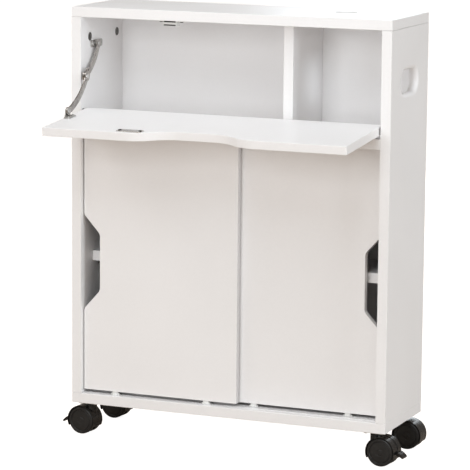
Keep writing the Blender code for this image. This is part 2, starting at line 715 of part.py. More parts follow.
def make_elbow_rivet(elbow):
    """Rides on the lower arm only: its inner head stops short of the upper arm."""
    line = elbow - stay_flap_pivot()
    turn = empty("stay_elbow_pivot", (0, *stay_flap_pivot()), (atan2(line.y, line.x), 0, 0))
    place = (line.length, 0)
    inner_head = STAY_UPPER_X + STAY_ARM_THICK + SEAT
    outer_head = STAY_LOWER_X + STAY_ARM_THICK + SEAT
    shank = rod(place, "x", STAY_STUD_RADIUS, inner_head + SEAT, outer_head + SEAT)
    rivet = piece("stay_elbow_rivet", shank, ZINC, turn, round_off=True)
    join(rivet, rod(place, "x", STAY_HEAD_RADIUS, inner_head, STAY_LOWER_X - SEAT),
         rod(place, "x", STAY_HEAD_RADIUS, outer_head, outer_head + STAY_HEAD_THICK))


def make_wall_bracket():
    y, z = STAY_WALL_PIVOT
    middle = y + WALL_BRACKET_SHIFT
    low = (middle - WALL_BRACKET_LENGTH / 2, z - WALL_BRACKET_HEIGHT / 2)
    high = (middle + WALL_BRACKET_LENGTH / 2, z + WALL_BRACKET_HEIGHT / 2)
    outline = rectangle(low, high, WALL_BRACKET_CORNER, 5)
    bracket = piece("stay_wall_bracket", prism(outline, "x", STAY_WALL, STAY_WALL + STAY_PLATE), ZINC)
    inside = STAY_WALL + STAY_PLATE / 2
    head = STAY_UPPER_X + STAY_ARM_THICK + SEAT
    join(bracket, rod((y, z), "x", STAY_HEAD_RADIUS, inside, STAY_UPPER_X - SEAT))
    combine(bracket, "UNION", rod((y, z), "x", STAY_STUD_RADIUS, inside, head + SEAT))
    combine(bracket, "UNION", rod((y, z), "x", STAY_HEAD_RADIUS, head, head + STAY_HEAD_THICK))


def make_flap_bracket(pivot):
    """An angle screwed to the flap, with a stud through the lower arm."""
    face = FLAP_INNER_FACE + SEAT
    half = FLAP_BRACKET_LENGTH / 2
    base = rectangle((STAY_EAR_X, STAY_LUG_HEIGHT - half),
                     (STAY_EAR_X + FLAP_BRACKET_WIDTH, STAY_LUG_HEIGHT + half), FLAP_BRACKET_CORNER, 4)
    bracket = piece("stay_flap_bracket", prism(base, "y", face, face + STAY_PLATE), ZINC, pivot)
    ear = [(face + STAY_PLATE / 2, STAY_LUG_HEIGHT - STAY_EAR_FOOT)]
    ear += arc((STAY_LUG_Y, STAY_LUG_HEIGHT), STAY_EYE_RADIUS - SEAT, -pi / 3, pi / 3, 10)
    ear.append((face + STAY_PLATE / 2, STAY_LUG_HEIGHT + STAY_EAR_FOOT))
    ear_far = STAY_EAR_X + STAY_PLATE
    head = STAY_LOWER_X + STAY_ARM_THICK + SEAT
    place = (STAY_LUG_Y, STAY_LUG_HEIGHT)
    combine(bracket, "UNION", prism(ear, "x", STAY_EAR_X + EASE / 2, ear_far))
    combine(bracket, "UNION", rod(place, "x", STAY_STUD_RADIUS, STAY_EAR_X + STAY_PLATE / 2, head + SEAT))
    combine(bracket, "UNION", rod(place, "x", STAY_HEAD_RADIUS, head, head + STAY_HEAD_THICK))


# Magnetic catch under the top panel

def make_catch():
    width, depth, height = CATCH_BODY
    roof = ROOF - SEAT
    front = FRONT + FLAP_THICK + CATCH_SETBACK
    low = (CATCH_OFFSET - width / 2, front, roof - height)
    high = (CATCH_OFFSET + width / 2, front + depth, roof)
    body = piece("catch_body", eased(block(low, high), EASE / 2), WHITE_PLASTIC)
    ear_front = front + (depth - CATCH_EAR_DEPTH) / 2
    ears = rectangle((CATCH_OFFSET - CATCH_EAR_LENGTH / 2, ear_front),
                     (CATCH_OFFSET + CATCH_EAR_LENGTH / 2, ear_front + CATCH_EAR_DEPTH),
                     CATCH_EAR_CORNER, 5)
    join(body, prism(ears, "z", roof - EASE - CATCH_EAR_THICK, roof - EASE))
    pocket_width, pocket_depth, pocket_height = CATCH_POCKET
    pocket_top = roof - CATCH_POCKET_DROP
    half = pocket_width / 2
    cut(body, block((CATCH_OFFSET - half, front - depth, pocket_top - pocket_height),
                    (CATCH_OFFSET + half, front + pocket_depth, pocket_top)))
    inner = half - SEAT
    rear = front + pocket_depth - SEAT
    proud = front - CATCH_SETBACK + STRIKE_THICK + 2 * SEAT

    def insert(name, top, thick, near, material):
        low = (CATCH_OFFSET - inner, near, top - thick)
        piece(name, block(low, (CATCH_OFFSET + inner, rear, top)), material)

    upper_top = pocket_top - SEAT
    lower_top = pocket_top - pocket_height + SEAT + POLE_PLATE_THICK
    magnet_top = upper_top - POLE_PLATE_THICK - SEAT
    magnet_thick = magnet_top - lower_top - SEAT
    insert("catch_plate_upper", upper_top, POLE_PLATE_THICK, proud, ZINC)
    insert("catch_plate_lower", lower_top, POLE_PLATE_THICK, proud, ZINC)
    insert("catch_magnet", magnet_top, magnet_thick, front + EASE, MAGNET)


# Casters, each about an empty on its stem with local +X along the trail

WHEEL_INNER = WEB_THICK / 2 + WHEEL_SIDE_GAP
CASTER_HALF_WIDTH = WHEEL_INNER + WHEEL_WIDTH
HOOD_RADIUS = WHEEL_RADIUS + HOOD_CLEARANCE + HOOD_WALL
BRAKE_PIVOT_REACH = HOOD_RADIUS + BRAKE_PIVOT_GAP  # behind the axle
HOUSING_TOP = BASE - SEAT - CASTER_PLATE_THICK - SWIVEL_GAP


def wheel_solid():
    """A wheel turned about Y from its inner side at 0, with a blind bore for the axle and a dished face."""
    bore = AXLE_RADIUS + SEAT
    depth = AXLE_HOLD + SEAT
    r = WHEEL_RADIUS
    w = WHEEL_WIDTH
    e = WHEEL_EDGE
    profile = [(0, depth), (bore, depth), (bore, 0), (r - e, 0)]
    profile += [(r - e + e * sin(a), e - e * cos(a)) for a in (pi / 4, pi / 2)]
    profile += [(r - e + e * cos(a), w - e + e * sin(a)) for a in (0, pi / 4, pi / 2)]
    dish = w - WHEEL_DISH_DEPTH
    cap = w - WHEEL_CAP_DEPTH
    profile += [(WHEEL_RIM_RADIUS, w), (WHEEL_DISH_RADIUS, dish), (WHEEL_CAP_RADIUS, dish)]
    profile += [(WHEEL_CAP_RADIUS - WHEEL_DISH_DEPTH, cap), (0, cap)]
    return turned(profile)


def make_wheels(corner, stem):
    for side, facing in (("outer", -1), ("inner", 1)):
        axle = empty(f"{corner}_{side}_axle", (CASTER_TRAIL, facing * WHEEL_INNER, WHEEL_RADIUS))
        axle.parent = stem
        solid = wheel_solid()
        if facing < 0:
            bmesh.ops.rotate(solid, verts=solid.verts, cent=(0, 0, 0), matrix=Matrix.Rotation(pi, 3, "Z"))
        piece(f"caster_wheel_{corner}_{side}", solid, DARK_RUBBER, axle, round_off=True)
    half = WHEEL_INNER + AXLE_HOLD
    pin = rod((CASTER_TRAIL, WHEEL_RADIUS), "y", AXLE_RADIUS, -half, half, 16)
    piece(f"caster_axle_{corner}", pin, ZINC, stem, round_off=True)


def brake_lug_end():
    """How far the lug of the web reaches past the brake's pin."""
    return BRAKE_CHEEK_RADIUS - 3 * SEAT


def make_hood(corner, stem, braked):
    """A half-round hood over both wheels, with a web between them and a housing for the stem."""
    axle = (CASTER_TRAIL, WHEEL_RADIUS)
    skirt = asin(HOOD_SKIRT / HOOD_RADIUS)
    outline = arc(axle, HOOD_RADIUS, -skirt, pi + skirt, 22)
    shell = prism(outline, "y", -CASTER_HALF_WIDTH, CASTER_HALF_WIDTH)
    hood = piece(f"caster_hood_{corner}", shell, BLACK_PLASTIC, stem, round_off=True)
    housing_base = WHEEL_RADIUS + STEM_HOUSING_BASE
    join(hood, rod((0, 0), "z", STEM_HOUSING_RADIUS, housing_base, HOUSING_TOP, 18))
    if braked:
        reach = CASTER_TRAIL + BRAKE_PIVOT_REACH
        height = WHEEL_RADIUS - BRAKE_PIVOT_DROP
        lug = rectangle((CASTER_TRAIL + HOOD_RADIUS - BRAKE_LUG_OVERLAP, height - BRAKE_LUG_HALF),
                        (reach + brake_lug_end(), height + BRAKE_LUG_HALF), BRAKE_LUG_CORNER, 3)
        half = WEB_THICK / 2 - SEAT
        pin_end = BRAKE_HALF_WIDTH - SEAT
        combine(hood, "UNION", prism(lug, "y", -half, half))
        combine(hood, "UNION", rod((reach, height), "y", BRAKE_PIN_RADIUS, -pin_end, pin_end, 12))
    pocket = HOOD_RADIUS - HOOD_WALL
    far = 2 * CASTER_HALF_WIDTH
    half = WEB_THICK / 2
    stem_low = HOUSING_TOP - STEM_HOLD - SEAT
    cut(hood, rod(axle, "y", pocket, -far, -half, 36), rod(axle, "y", pocket, half, far, 36),
        rod((0, 0), "z", STEM_RADIUS + SEAT, stem_low, BASE, 14))
    combine(hood, "DIFFERENCE", rod(axle, "y", AXLE_RADIUS + SEAT, -far, far, 14))


def make_caster_plate(corner, stem):
    half = CASTER_PLATE_SIZE / 2
    top = BASE - SEAT
    bottom = top - CASTER_PLATE_THICK
    outline = rectangle((-half, -half), (half, half), CASTER_PLATE_CORNER, 4)
    plate = piece(f"caster_plate_{corner}", prism(outline, "z", bottom, top), ZINC, stem)
    plate.rotation_euler.z = -radians(CASTER_TURNS[corner])
    inside = top - CASTER_PLATE_THICK / 2
    combine(plate, "UNION", rod((0, 0), "z", STEM_COLLAR_RADIUS, HOUSING_TOP + SEAT, inside, 14))
    combine(plate, "UNION", rod((0, 0), "z", STEM_RADIUS, HOUSING_TOP - STEM_HOLD, inside, 12))


def make_brake_lever(corner, stem):
    """A foot lever that straddles the web's lug behind the wheels and turns on its pin."""
    place = (CASTER_TRAIL + BRAKE_PIVOT_REACH, 0, WHEEL_RADIUS - BRAKE_PIVOT_DROP)
    pivot = empty(f"{corner}_brake_pivot", place)
    pivot.parent = stem
    r = BRAKE_CHEEK_RADIUS
    half_tab = BRAKE_TAB_THICK / 2
    outline = arc((0, 0), r, BRAKE_CHEEK_FROM, BRAKE_CHEEK_TO, 12)
    outline.append((BRAKE_TAB_REACH - half_tab, -BRAKE_TAB_DROP - BRAKE_TAB_THICK))
    outline.append((BRAKE_TAB_REACH, -BRAKE_TAB_DROP - half_tab))
    outline.append((BRAKE_TAB_REACH, -BRAKE_TAB_DROP + half_tab))
    solid = prism(outline, "y", -BRAKE_HALF_WIDTH, BRAKE_HALF_WIDTH)
    lever = piece(f"brake_lever_{corner}", solid, BLACK_PLASTIC, pivot, round_off=True)
    half = WEB_THICK / 2
    cut(lever, block((-2 * r, -half, -2 * r), (brake_lug_end() + 2 * SEAT, half, 2 * r)))
    pin = rod((0, 0), "y", BRAKE_PIN_RADIUS + SEAT, -2 * BRAKE_HALF_WIDTH, 2 * BRAKE_HALF_WIDTH, 12)
    combine(lever, "DIFFERENCE", pin)


def make_caster(corner):
    row, side = corner.split("_")
    x = LEFT + CASTER_INSET_X if side == "left" else RIGHT - CASTER_INSET_X
    y = FRONT + CASTER_INSET_Y if row == "front" else REAR - CASTER_INSET_Y
    stem = empty(f"{corner}_stem", (x, y, 0), (0, 0, radians(CASTER_TURNS[corner])))
    make_caster_plate(corner, stem)
    make_hood(corner, stem, row == "front")
    make_wheels(corner, stem)
    if row == "front":
        make_brake_lever(corner, stem)


make_top_panel()
make_bottom_panel()
make_side_panel("left_side_panel", LEFT, 1)
make_side_panel("right_side_panel", RIGHT - BOARD, -1)
make_fixed_shelf()
make_divider()
make_back_panel()
make_inner_shelf()
make_side_hardware()
make_door("left", 0, -1)
make_door("right", 1, 1)
make_flap()
make_stay()
make_catch()
for CORNER in CASTER_TURNS:
    make_caster(CORNER)
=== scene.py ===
"""Finished looks of the rolling sewing cabinet: foiled boards, hardware, casters, studio and camera."""

import json
from math import asin, atan2, cos, pi, radians, sin, tan

import bmesh
import bpy
from mathutils import Matrix, Vector


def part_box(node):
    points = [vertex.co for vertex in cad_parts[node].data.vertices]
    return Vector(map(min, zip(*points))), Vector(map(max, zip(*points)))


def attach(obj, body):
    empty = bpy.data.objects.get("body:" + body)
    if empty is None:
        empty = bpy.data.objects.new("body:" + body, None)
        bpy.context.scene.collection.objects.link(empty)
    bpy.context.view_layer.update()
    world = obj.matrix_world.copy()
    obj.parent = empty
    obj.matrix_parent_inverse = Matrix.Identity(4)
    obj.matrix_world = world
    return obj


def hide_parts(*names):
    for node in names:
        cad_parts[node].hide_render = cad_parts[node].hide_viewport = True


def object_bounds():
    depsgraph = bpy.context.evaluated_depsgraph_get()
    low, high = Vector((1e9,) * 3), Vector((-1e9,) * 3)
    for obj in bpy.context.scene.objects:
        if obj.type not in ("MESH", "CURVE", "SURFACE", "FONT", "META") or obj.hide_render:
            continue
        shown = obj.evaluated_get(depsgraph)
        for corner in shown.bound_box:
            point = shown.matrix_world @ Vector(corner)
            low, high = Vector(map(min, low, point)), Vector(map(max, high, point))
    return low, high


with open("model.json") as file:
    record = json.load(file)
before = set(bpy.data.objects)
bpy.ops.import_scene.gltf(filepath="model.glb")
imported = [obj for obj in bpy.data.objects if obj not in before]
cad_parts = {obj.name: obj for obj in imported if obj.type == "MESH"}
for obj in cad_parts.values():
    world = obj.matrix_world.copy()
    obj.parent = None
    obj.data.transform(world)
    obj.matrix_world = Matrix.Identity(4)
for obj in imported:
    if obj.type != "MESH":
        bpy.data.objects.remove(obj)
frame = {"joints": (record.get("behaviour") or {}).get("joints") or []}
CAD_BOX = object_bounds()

JOINTS = {joint["name"]: joint for joint in frame["joints"]}
SEAT = 0.0003  # clearance between two pieces that touch
EASE = 0.0008  # eased edges of the boards
CLEAN_ANGLE = radians(0.1)  # faces flatter than this to each other are one face
ROLLED_STEPS = (pi / 8, pi / 4, 3 * pi / 8)  # between the ends of a quarter round
PIN_RADIUS = 0.0025  # of the hinge and shelf pins
PIN_BORE = 0.0028


# ---------------------------------------------------------------- solids

def block(low, high):
    solid = bmesh.new()
    size = Vector(high) - Vector(low)
    middle = (Vector(high) + Vector(low)) / 2
    bmesh.ops.create_cube(solid, size=1, matrix=Matrix.Translation(middle) @ Matrix.Diagonal((*size, 1)))
    return solid


def rod(start, end, radius, sides=48, end_radius=None):
    """A cylinder, or a cone, between two points."""
    solid = bmesh.new()
    along = Vector(end) - Vector(start)
    place = Matrix.Translation((Vector(start) + Vector(end)) / 2)
    place = place @ along.to_track_quat("Z", "Y").to_matrix().to_4x4()
    far = radius if end_radius is None else end_radius
    bmesh.ops.create_cone(solid, cap_ends=True, segments=sides, radius1=radius, radius2=far,
                          depth=along.length, matrix=place)
    return solid


def pull(solid, faces, along):
    """Thicken faces into a solid by pulling a copy of them along a vector."""
    pulled = bmesh.ops.extrude_face_region(solid, geom=faces)
    verts = [v for v in pulled["geom"] if isinstance(v, bmesh.types.BMVert)]
    bmesh.ops.translate(solid, verts=verts, vec=along)
    bmesh.ops.recalc_face_normals(solid, faces=solid.faces)
    return solid


def slab(corners, along):
    """A flat outline, given as points, pulled out along a vector."""
    solid = bmesh.new()
    cap = solid.faces.new([solid.verts.new(corner) for corner in corners])
    return pull(solid, [cap], along)


def turned(profile, steps=64):
    """A profile of (radius, height) points turned about Z."""
    solid = bmesh.new()
    verts = [solid.verts.new((radius, 0, height)) for radius, height in profile]
    edges = [solid.edges.new(pair) for pair in zip(verts, verts[1:])]
    bmesh.ops.spin(solid, geom=verts + edges, cent=(0, 0, 0), axis=(0, 0, 1), angle=2 * pi, steps=steps,
                   use_merge=True)
    bmesh.ops.remove_doubles(solid, verts=solid.verts, dist=1e-6)
    bmesh.ops.recalc_face_normals(solid, faces=solid.faces)
    return solid


def moved(solid, place):
    bmesh.ops.transform(solid, matrix=place, verts=solid.verts)
    return solid


def bevelled(solid, edges, radius, segments):
    bmesh.ops.bevel(solid, geom=edges, offset=radius, segments=segments, profile=0.5, affect="EDGES",
                    material=-1)
    return solid


def rounded(solid, direction, radius, chosen=lambda middle: True, segments=8):
    """Round the edges that run along a direction, where chosen says so of their middle."""
    way = Vector(direction).normalized()
    edges = []
    for edge in solid.edges:
        a, b = (v.co for v in edge.verts)
        if abs((b - a).normalized().dot(way)) > 0.999 and chosen((a + b) / 2):
            edges.append(edge)
    return bevelled(solid, edges, radius, segments)


def together(*solids):
    """Several solids in one bmesh, still as separate bodies."""
    whole = bmesh.new()
    for solid in solids:
        mesh = bpy.data.meshes.new("loose")
        solid.to_mesh(mesh)
        solid.free()
        whole.from_mesh(mesh)
        bpy.data.meshes.remove(mesh)
    return whole


def shaped(solid, operation, *others):
    """A solid with others cut from it, DIFFERENCE, or joined on, UNION."""
    helpers = []
    for part in (solid, *others):
        mesh = bpy.data.meshes.new("helper")
        part.to_mesh(mesh)
        part.free()
        helper = bpy.data.objects.new("helper", mesh)
        bpy.context.scene.collection.objects.link(helper)
        helpers.append(helper)
    for other in helpers[1:]:
        step = helpers[0].modifiers.new("step", "BOOLEAN")
        step.operation = operation
        step.solver = "EXACT"
        step.object = other
    depsgraph = bpy.context.evaluated_depsgraph_get()
    mesh = bpy.data.meshes.new_from_object(helpers[0].evaluated_get(depsgraph))
    result = bmesh.new()
    result.from_mesh(mesh)
    bpy.data.meshes.remove(mesh)
    for helper in helpers:
        bpy.data.meshes.remove(helper.data)
    return result


def cut(solid, *others):
    return shaped(solid, "DIFFERENCE", *others)


def joined(solid, *others):
    return shaped(solid, "UNION", *others)


def piece(name, solid, material, body, nodes=(), edge=0.0, segments=3, sharp=35):
    """Make one finished piece that rides on a body. edge is the width of its rounded edges."""
    mesh = bpy.data.meshes.new(name)
    solid.to_mesh(mesh)
    solid.free()
    mesh.materials.append(material)
    mesh.shade_smooth()
    made = bpy.data.objects.new(name, mesh)
    bpy.context.scene.collection.objects.link(made)
    if edge:
        step = made.modifiers.new("rounded edges", "BEVEL")
        step.width = edge
        step.segments = segments
        step.limit_method = "ANGLE"
        step.angle_limit = radians(sharp)
        step.use_clamp_overlap = True
        step.harden_normals = True
    else:
        mesh.set_sharp_from_angle(angle=radians(sharp))
    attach(made, body)
    if nodes:
        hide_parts(*nodes)
    return made


# ---------------------------------------------------------------- shared surface effects

FINE_SHARE = 0.4  # of the fine noise in a mottle
NOISE_LOW = 0.3
NOISE_HIGH = 0.7


def new_group(name, inputs, outputs):
    """An empty node group with named inputs, as (name, value), and outputs, as (name, kind)."""
    group = bpy.data.node_groups.new(name, "ShaderNodeTree")
    for label, value in inputs:
        kind = "NodeSocketColor" if isinstance(value, tuple) else "NodeSocketFloat"
        socket = group.interface.new_socket(name=label, in_out="INPUT", socket_type=kind)
        socket.default_value = value
    for label, kind in outputs:
        group.interface.new_socket(name=label, in_out="OUTPUT", socket_type=kind)
    return group, group.nodes.new("NodeGroupInput"), group.nodes.new("NodeGroupOutput")


def add(tree, kind, settings=(), inputs=()):
    """A node with settings and inputs, where an input is a value or another node's output."""
    node = tree.nodes.new(kind)
    for key, value in dict(settings).items():
        setattr(node, key, value)
    for key, value in dict(inputs).items():
        if isinstance(value, bpy.types.NodeSocket):
            tree.links.new(value, node.inputs[key])
        else:
            node.inputs[key].default_value = value
    return node


def make_mottle():
    """Slow and fine variation of a finish: a colour between two, and a value between two."""
    inputs = [("Light", (1.0, 1.0, 1.0, 1.0)), ("Dark", (0.9, 0.9, 0.9, 1.0)), ("Slow Scale", 8.0),
              ("Fine Scale", 220.0), ("Low", 0.35), ("High", 0.45)]
    outputs = [("Color", "NodeSocketColor"), ("Value", "NodeSocketFloat")]
    group, enter, leave = new_group("mottle", inputs, outputs)
    place = add(group, "ShaderNodeTexCoord").outputs["Object"]
    slow = add(group, "ShaderNodeTexNoise",
               inputs={"Vector": place, "Detail": 3.0, "Scale": enter.outputs["Slow Scale"]})
    fine = add(group, "ShaderNodeTexNoise",
               inputs={"Vector": place, "Detail": 2.0, "Scale": enter.outputs["Fine Scale"]})
    both = add(group, "ShaderNodeMix",
               inputs={0: FINE_SHARE, 2: slow.outputs["Fac"], 3: fine.outputs["Fac"]})
    spread = add(group, "ShaderNodeMapRange",
                 inputs={"Value": both.outputs[0], "From Min": NOISE_LOW, "From Max": NOISE_HIGH})
    colour = add(group, "ShaderNodeMix", {"data_type": "RGBA"},
                 {0: spread.outputs[0], 6: enter.outputs["Dark"], 7: enter.outputs["Light"]})
    value = add(group, "ShaderNodeMapRange",
                inputs={"Value": spread.outputs[0], "To Min": enter.outputs["Low"],
                        "To Max": enter.outputs["High"]})
    group.links.new(colour.outputs[2], leave.inputs["Color"])
    group.links.new(value.outputs[0], leave.inputs["Value"])
    return group


def make_relief():
    """Fine relief of a moulded, foiled or rolled surface, longer along Z when Stretch Z is under 1."""
    inputs = [("Scale", 900.0), ("Depth", 0.00002), ("Strength", 0.2), ("Stretch Z", 1.0)]
    group, enter, leave = new_group("relief", inputs, [("Normal", "NodeSocketVector")])
    place = add(group, "ShaderNodeTexCoord")
    stretch = add(group, "ShaderNodeCombineXYZ",
                  inputs={"X": 1.0, "Y": 1.0, "Z": enter.outputs["Stretch Z"]})
    along = add(group, "ShaderNodeVectorMath", {"operation": "MULTIPLY"},
                {0: place.outputs["Object"], 1: stretch.outputs[0]})
    grain = add(group, "ShaderNodeTexNoise",
                inputs={"Vector": along.outputs[0], "Detail": 4.0, "Roughness": 0.6,
                        "Scale": enter.outputs["Scale"]})
    bump = add(group, "ShaderNodeBump",
               inputs={"Height": grain.outputs["Fac"], "Strength": enter.outputs["Strength"],
                       "Distance": enter.outputs["Depth"]})
    group.links.new(bump.outputs[0], leave.inputs["Normal"])
    return group


MOTTLE = make_mottle()
RELIEF = make_relief()


def finish(name, light, dark, roughness, relief, metallic=0.0, slow=8.0, fine=220.0,
           specular=0.5, stretch_z=1.0):
    """A Principled finish from the shared effects. relief is (scale, depth, strength)."""
    material = bpy.data.materials.new(name)
    material.use_nodes = True
    tree = material.node_tree
    shader = tree.nodes["Principled BSDF"]
    shader.inputs["Metallic"].default_value = metallic
    shader.inputs["Specular IOR Level"].default_value = specular
    mottle = add(tree, "ShaderNodeGroup", {"node_tree": MOTTLE},
                 {"Light": (*light, 1.0), "Dark": (*dark, 1.0), "Slow Scale": slow, "Fine Scale": fine,
                  "Low": roughness[0], "High": roughness[1]})
    skin = add(tree, "ShaderNodeGroup", {"node_tree": RELIEF},
               {"Scale": relief[0], "Depth": relief[1], "Strength": relief[2], "Stretch Z": stretch_z})
    tree.links.new(mottle.outputs["Color"], shader.inputs["Base Color"])
    tree.links.new(mottle.outputs["Value"], shader.inputs["Roughness"])
    tree.links.new(skin.outputs["Normal"], shader.inputs["Normal"])
    return material


WHITE_BOARD = finish("foiled_board", (0.90, 0.887, 0.885), (0.87, 0.857, 0.855),
                     (0.36, 0.46), (1400.0, 0.00004, 0.25), slow=6.0, fine=260.0)
# painted shade: a darker white for the doors' upright ends, standing in for the shade in the seam where the
# doors meet
PAINTED_END_SHADE = finish("painted_end_shade", (0.66, 0.645, 0.64), (0.60, 0.585, 0.58), (0.42, 0.52),
                   (1400.0, 0.00004, 0.25), slow=6.0, fine=260.0)
WHITE_PLASTIC = finish("moulded_white", (0.86, 0.86, 0.84), (0.80, 0.80, 0.78),
                       (0.26, 0.34), (1800.0, 0.00003, 0.3), slow=40.0, fine=600.0)
BLACK_PLASTIC = finish("moulded_black", (0.013, 0.012, 0.0115), (0.008, 0.0075, 0.007),
                       (0.20, 0.32), (1500.0, 0.00004, 0.35), slow=40.0, fine=900.0, specular=0.42)
DARK_WHEEL = finish("wheel_nylon", (0.017, 0.016, 0.015), (0.009, 0.0085, 0.008),
                    (0.30, 0.46), (1300.0, 0.00006, 0.4), slow=60.0, fine=700.0, specular=0.40)
STEEL = finish("pressed_steel", (0.60, 0.575, 0.55), (0.30, 0.28, 0.265), (0.20, 0.34),
               (1100.0, 0.00003, 0.35), metallic=1.0, slow=50.0, fine=500.0, stretch_z=0.15)
ZINC = finish("zinc_plate", (0.62, 0.61, 0.59), (0.44, 0.435, 0.42), (0.28, 0.44),
              (900.0, 0.00003, 0.3), metallic=1.0, slow=90.0, fine=700.0)
NICKEL = finish("nickel_plate", (0.88, 0.87, 0.855), (0.76, 0.75, 0.735), (0.16, 0.28),
                (900.0, 0.00002, 0.25), metallic=1.0, slow=90.0, fine=700.0)
CAM_ZINC = finish("cast_zinc", (0.30, 0.29, 0.28), (0.13, 0.125, 0.12), (0.36, 0.52),
                  (900.0, 0.00004, 0.4), metallic=1.0, slow=300.0, fine=900.0)
POLE_STEEL = finish("blackened_steel", (0.060, 0.058, 0.056), (0.030, 0.029, 0.028), (0.36, 0.50),
                    (900.0, 0.00003, 0.3), metallic=1.0, slow=90.0, fine=700.0)
MAGNET = finish("ferrite", (0.13, 0.13, 0.13), (0.07, 0.07, 0.07), (0.5, 0.65),
                (1500.0, 0.00006, 0.5), slow=120.0, fine=900.0)


# ---------------------------------------------------------------- cabinet boards

CABINET = "cabinet"
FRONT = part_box("top_panel")[0].y
TRACK_CLEARANCE = 0.0006
GLIDE_GROOVE = 0.005
CABLE_HOLE_RADIUS = 0.0195
CABLE_HOLE_FROM_RIGHT = 0.125
CABLE_HOLE_FROM_FRONT = 0.116
HAND_HOLE = (0.084, 0.040)  # at its narrowest, between the rounded rims
HAND_HOLE_CORNER = 0.019
HAND_HOLE_DROP = 0.112
HAND_HOLE_RIM = 0.0080
CAM_BORE = 0.0078
BUSH_BORE = 0.0048
FACING = 0.9  # a face's normal along X is at least this for it to face sideways


def around(node):
    """A block that holds a node with the clearance of a seat."""
    low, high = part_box(node)
    edge = Vector((SEAT,) * 3)
    return block(low - edge, high + edge)


def board(name, *cutters):
    solid = block(*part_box(name))
    if cutters:
        solid = cut(solid, *cutters)
    piece(name + "_foiled", solid, WHITE_BOARD, CABINET, [name], edge=EASE)


def make_top_panel():
    low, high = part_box("top_panel")
    x = high.x - CABLE_HOLE_FROM_RIGHT
    y = low.y + CABLE_HOLE_FROM_FRONT
    hole = rod((x, y, low.z - EASE), (x, y, high.z + EASE), CABLE_HOLE_RADIUS, 96)
    board("top_panel", around("back_panel"), hole)


def make_bottom_panel():
    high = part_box("bottom_panel")[1]
    inner_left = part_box("left_side_panel")[1].x
    inner_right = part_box("right_side_panel")[0].x
    grooves = []
    for door in ("left_sliding_door", "right_sliding_door"):
        middle = sum(corner.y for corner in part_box(door)) / 2
        grooves.append(block((inner_left, middle - GLIDE_GROOVE / 2, high.z - GLIDE_GROOVE),
                             (inner_right, middle + GLIDE_GROOVE / 2, high.z + GLIDE_GROOVE)))
    board("bottom_panel", around("back_panel"), *grooves)


def hardware_bores(side):
    """Blind bores for the cam locks, shelf pins and pivot bush of one side."""
    inward = 1 if side == "left" else -1
    panel_low, panel_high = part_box(f"{side}_side_panel")
    face = panel_high.x if side == "left" else panel_low.x
    fittings = [(f"cam_lock_{side}_front", CAM_BORE), (f"cam_lock_{side}_rear", CAM_BORE),
                (f"shelf_pin_{side}_front", PIN_BORE), (f"shelf_pin_{side}_rear", PIN_BORE),
                (f"pivot_bush_{side}", BUSH_BORE)]
    bores = []
    for node, radius in fittings:
        low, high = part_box(node)
        deep = low.x if side == "left" else high.x
        y = (low.y + high.y) / 2
        z = high.z - PIN_RADIUS if "pin" in node else (low.z + high.z) / 2
        bores.append(rod((deep - inward * SEAT, y, z), (face + inward * EASE, y, z), radius, 40))
    return bores


def eased_rims(solid, faces, middle, half):
    """Round the rims of a hole that goes through along X, on the faces at the x values given."""
    rims = []
    for edge in solid.edges:
        ends = [v.co for v in edge.verts]
        on_face = any(all(abs(end.x - x) < SEAT for end in ends) for x in faces)
        inside = all(abs(end.y - middle[0]) < half[0] + SEAT and abs(end.z - middle[1]) < half[1] + SEAT
                     for end in ends)
        sideways = {abs(face.normal.x) > FACING for face in edge.link_faces}
        if on_face and inside and len(sideways) == 2:
            rims.append(edge)
    return bevelled(solid, rims, HAND_HOLE_RIM, 9)


def make_sides():
    board("left_side_panel", around("back_panel"), *hardware_bores("left"))
    low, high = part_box("right_side_panel")
    y = (low.y + high.y) / 2
    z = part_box("top_panel")[1].z - HAND_HOLE_DROP
    hole = block((low.x - EASE, y - HAND_HOLE[0] / 2, z - HAND_HOLE[1] / 2),
                 (high.x + EASE, y + HAND_HOLE[0] / 2, z + HAND_HOLE[1] / 2))
    hole = rounded(hole, (1, 0, 0), HAND_HOLE_CORNER, segments=14)
    panel = cut(block(low, high), around("back_panel"), hole, *hardware_bores("right"))
    bmesh.ops.dissolve_limit(panel, angle_limit=CLEAN_ANGLE, verts=panel.verts, edges=panel.edges)
    panel = eased_rims(panel, (low.x, high.x), (y, z), [size / 2 for size in HAND_HOLE])
    piece("right_side_panel_foiled", panel, WHITE_BOARD, CABINET, ["right_side_panel"], edge=EASE)


def make_shelves():
    shelf_low, shelf_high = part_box("fixed_shelf")
    tracks = []
    for door in ("left_sliding_door", "right_sliding_door"):
        low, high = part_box(door)
        tracks.append(block((shelf_low.x - EASE, low.y - TRACK_CLEARANCE, shelf_low.z - EASE),
                            (shelf_high.x + EASE, high.y + TRACK_CLEARANCE, high.z + 4 * TRACK_CLEARANCE)))
    board("fixed_shelf", *tracks)
    board("divider")
    board("inner_shelf")
    board("back_panel")


# ---------------------------------------------------------------- sliding doors

DOOR_NOTCH_MOUTH = 0.171
DOOR_NOTCH_FLAT = 0.103
DOOR_NOTCH_DEPTH = 0.031
DOOR_NOTCH_RISE = 0.2405
DOOR_NOTCH_ROUND = 0.005
SQUARE = 0.99  # a face's normal along X is at least this for it to carry the painted shade of the door's ends
PEG_RADIUS = 0.003
PEG_BORE = 0.0033
FOOT_INSET = 0.0042
FIN_INSET = 0.002
FIN_HALF = 0.0017
FIN_ROOT = 0.003


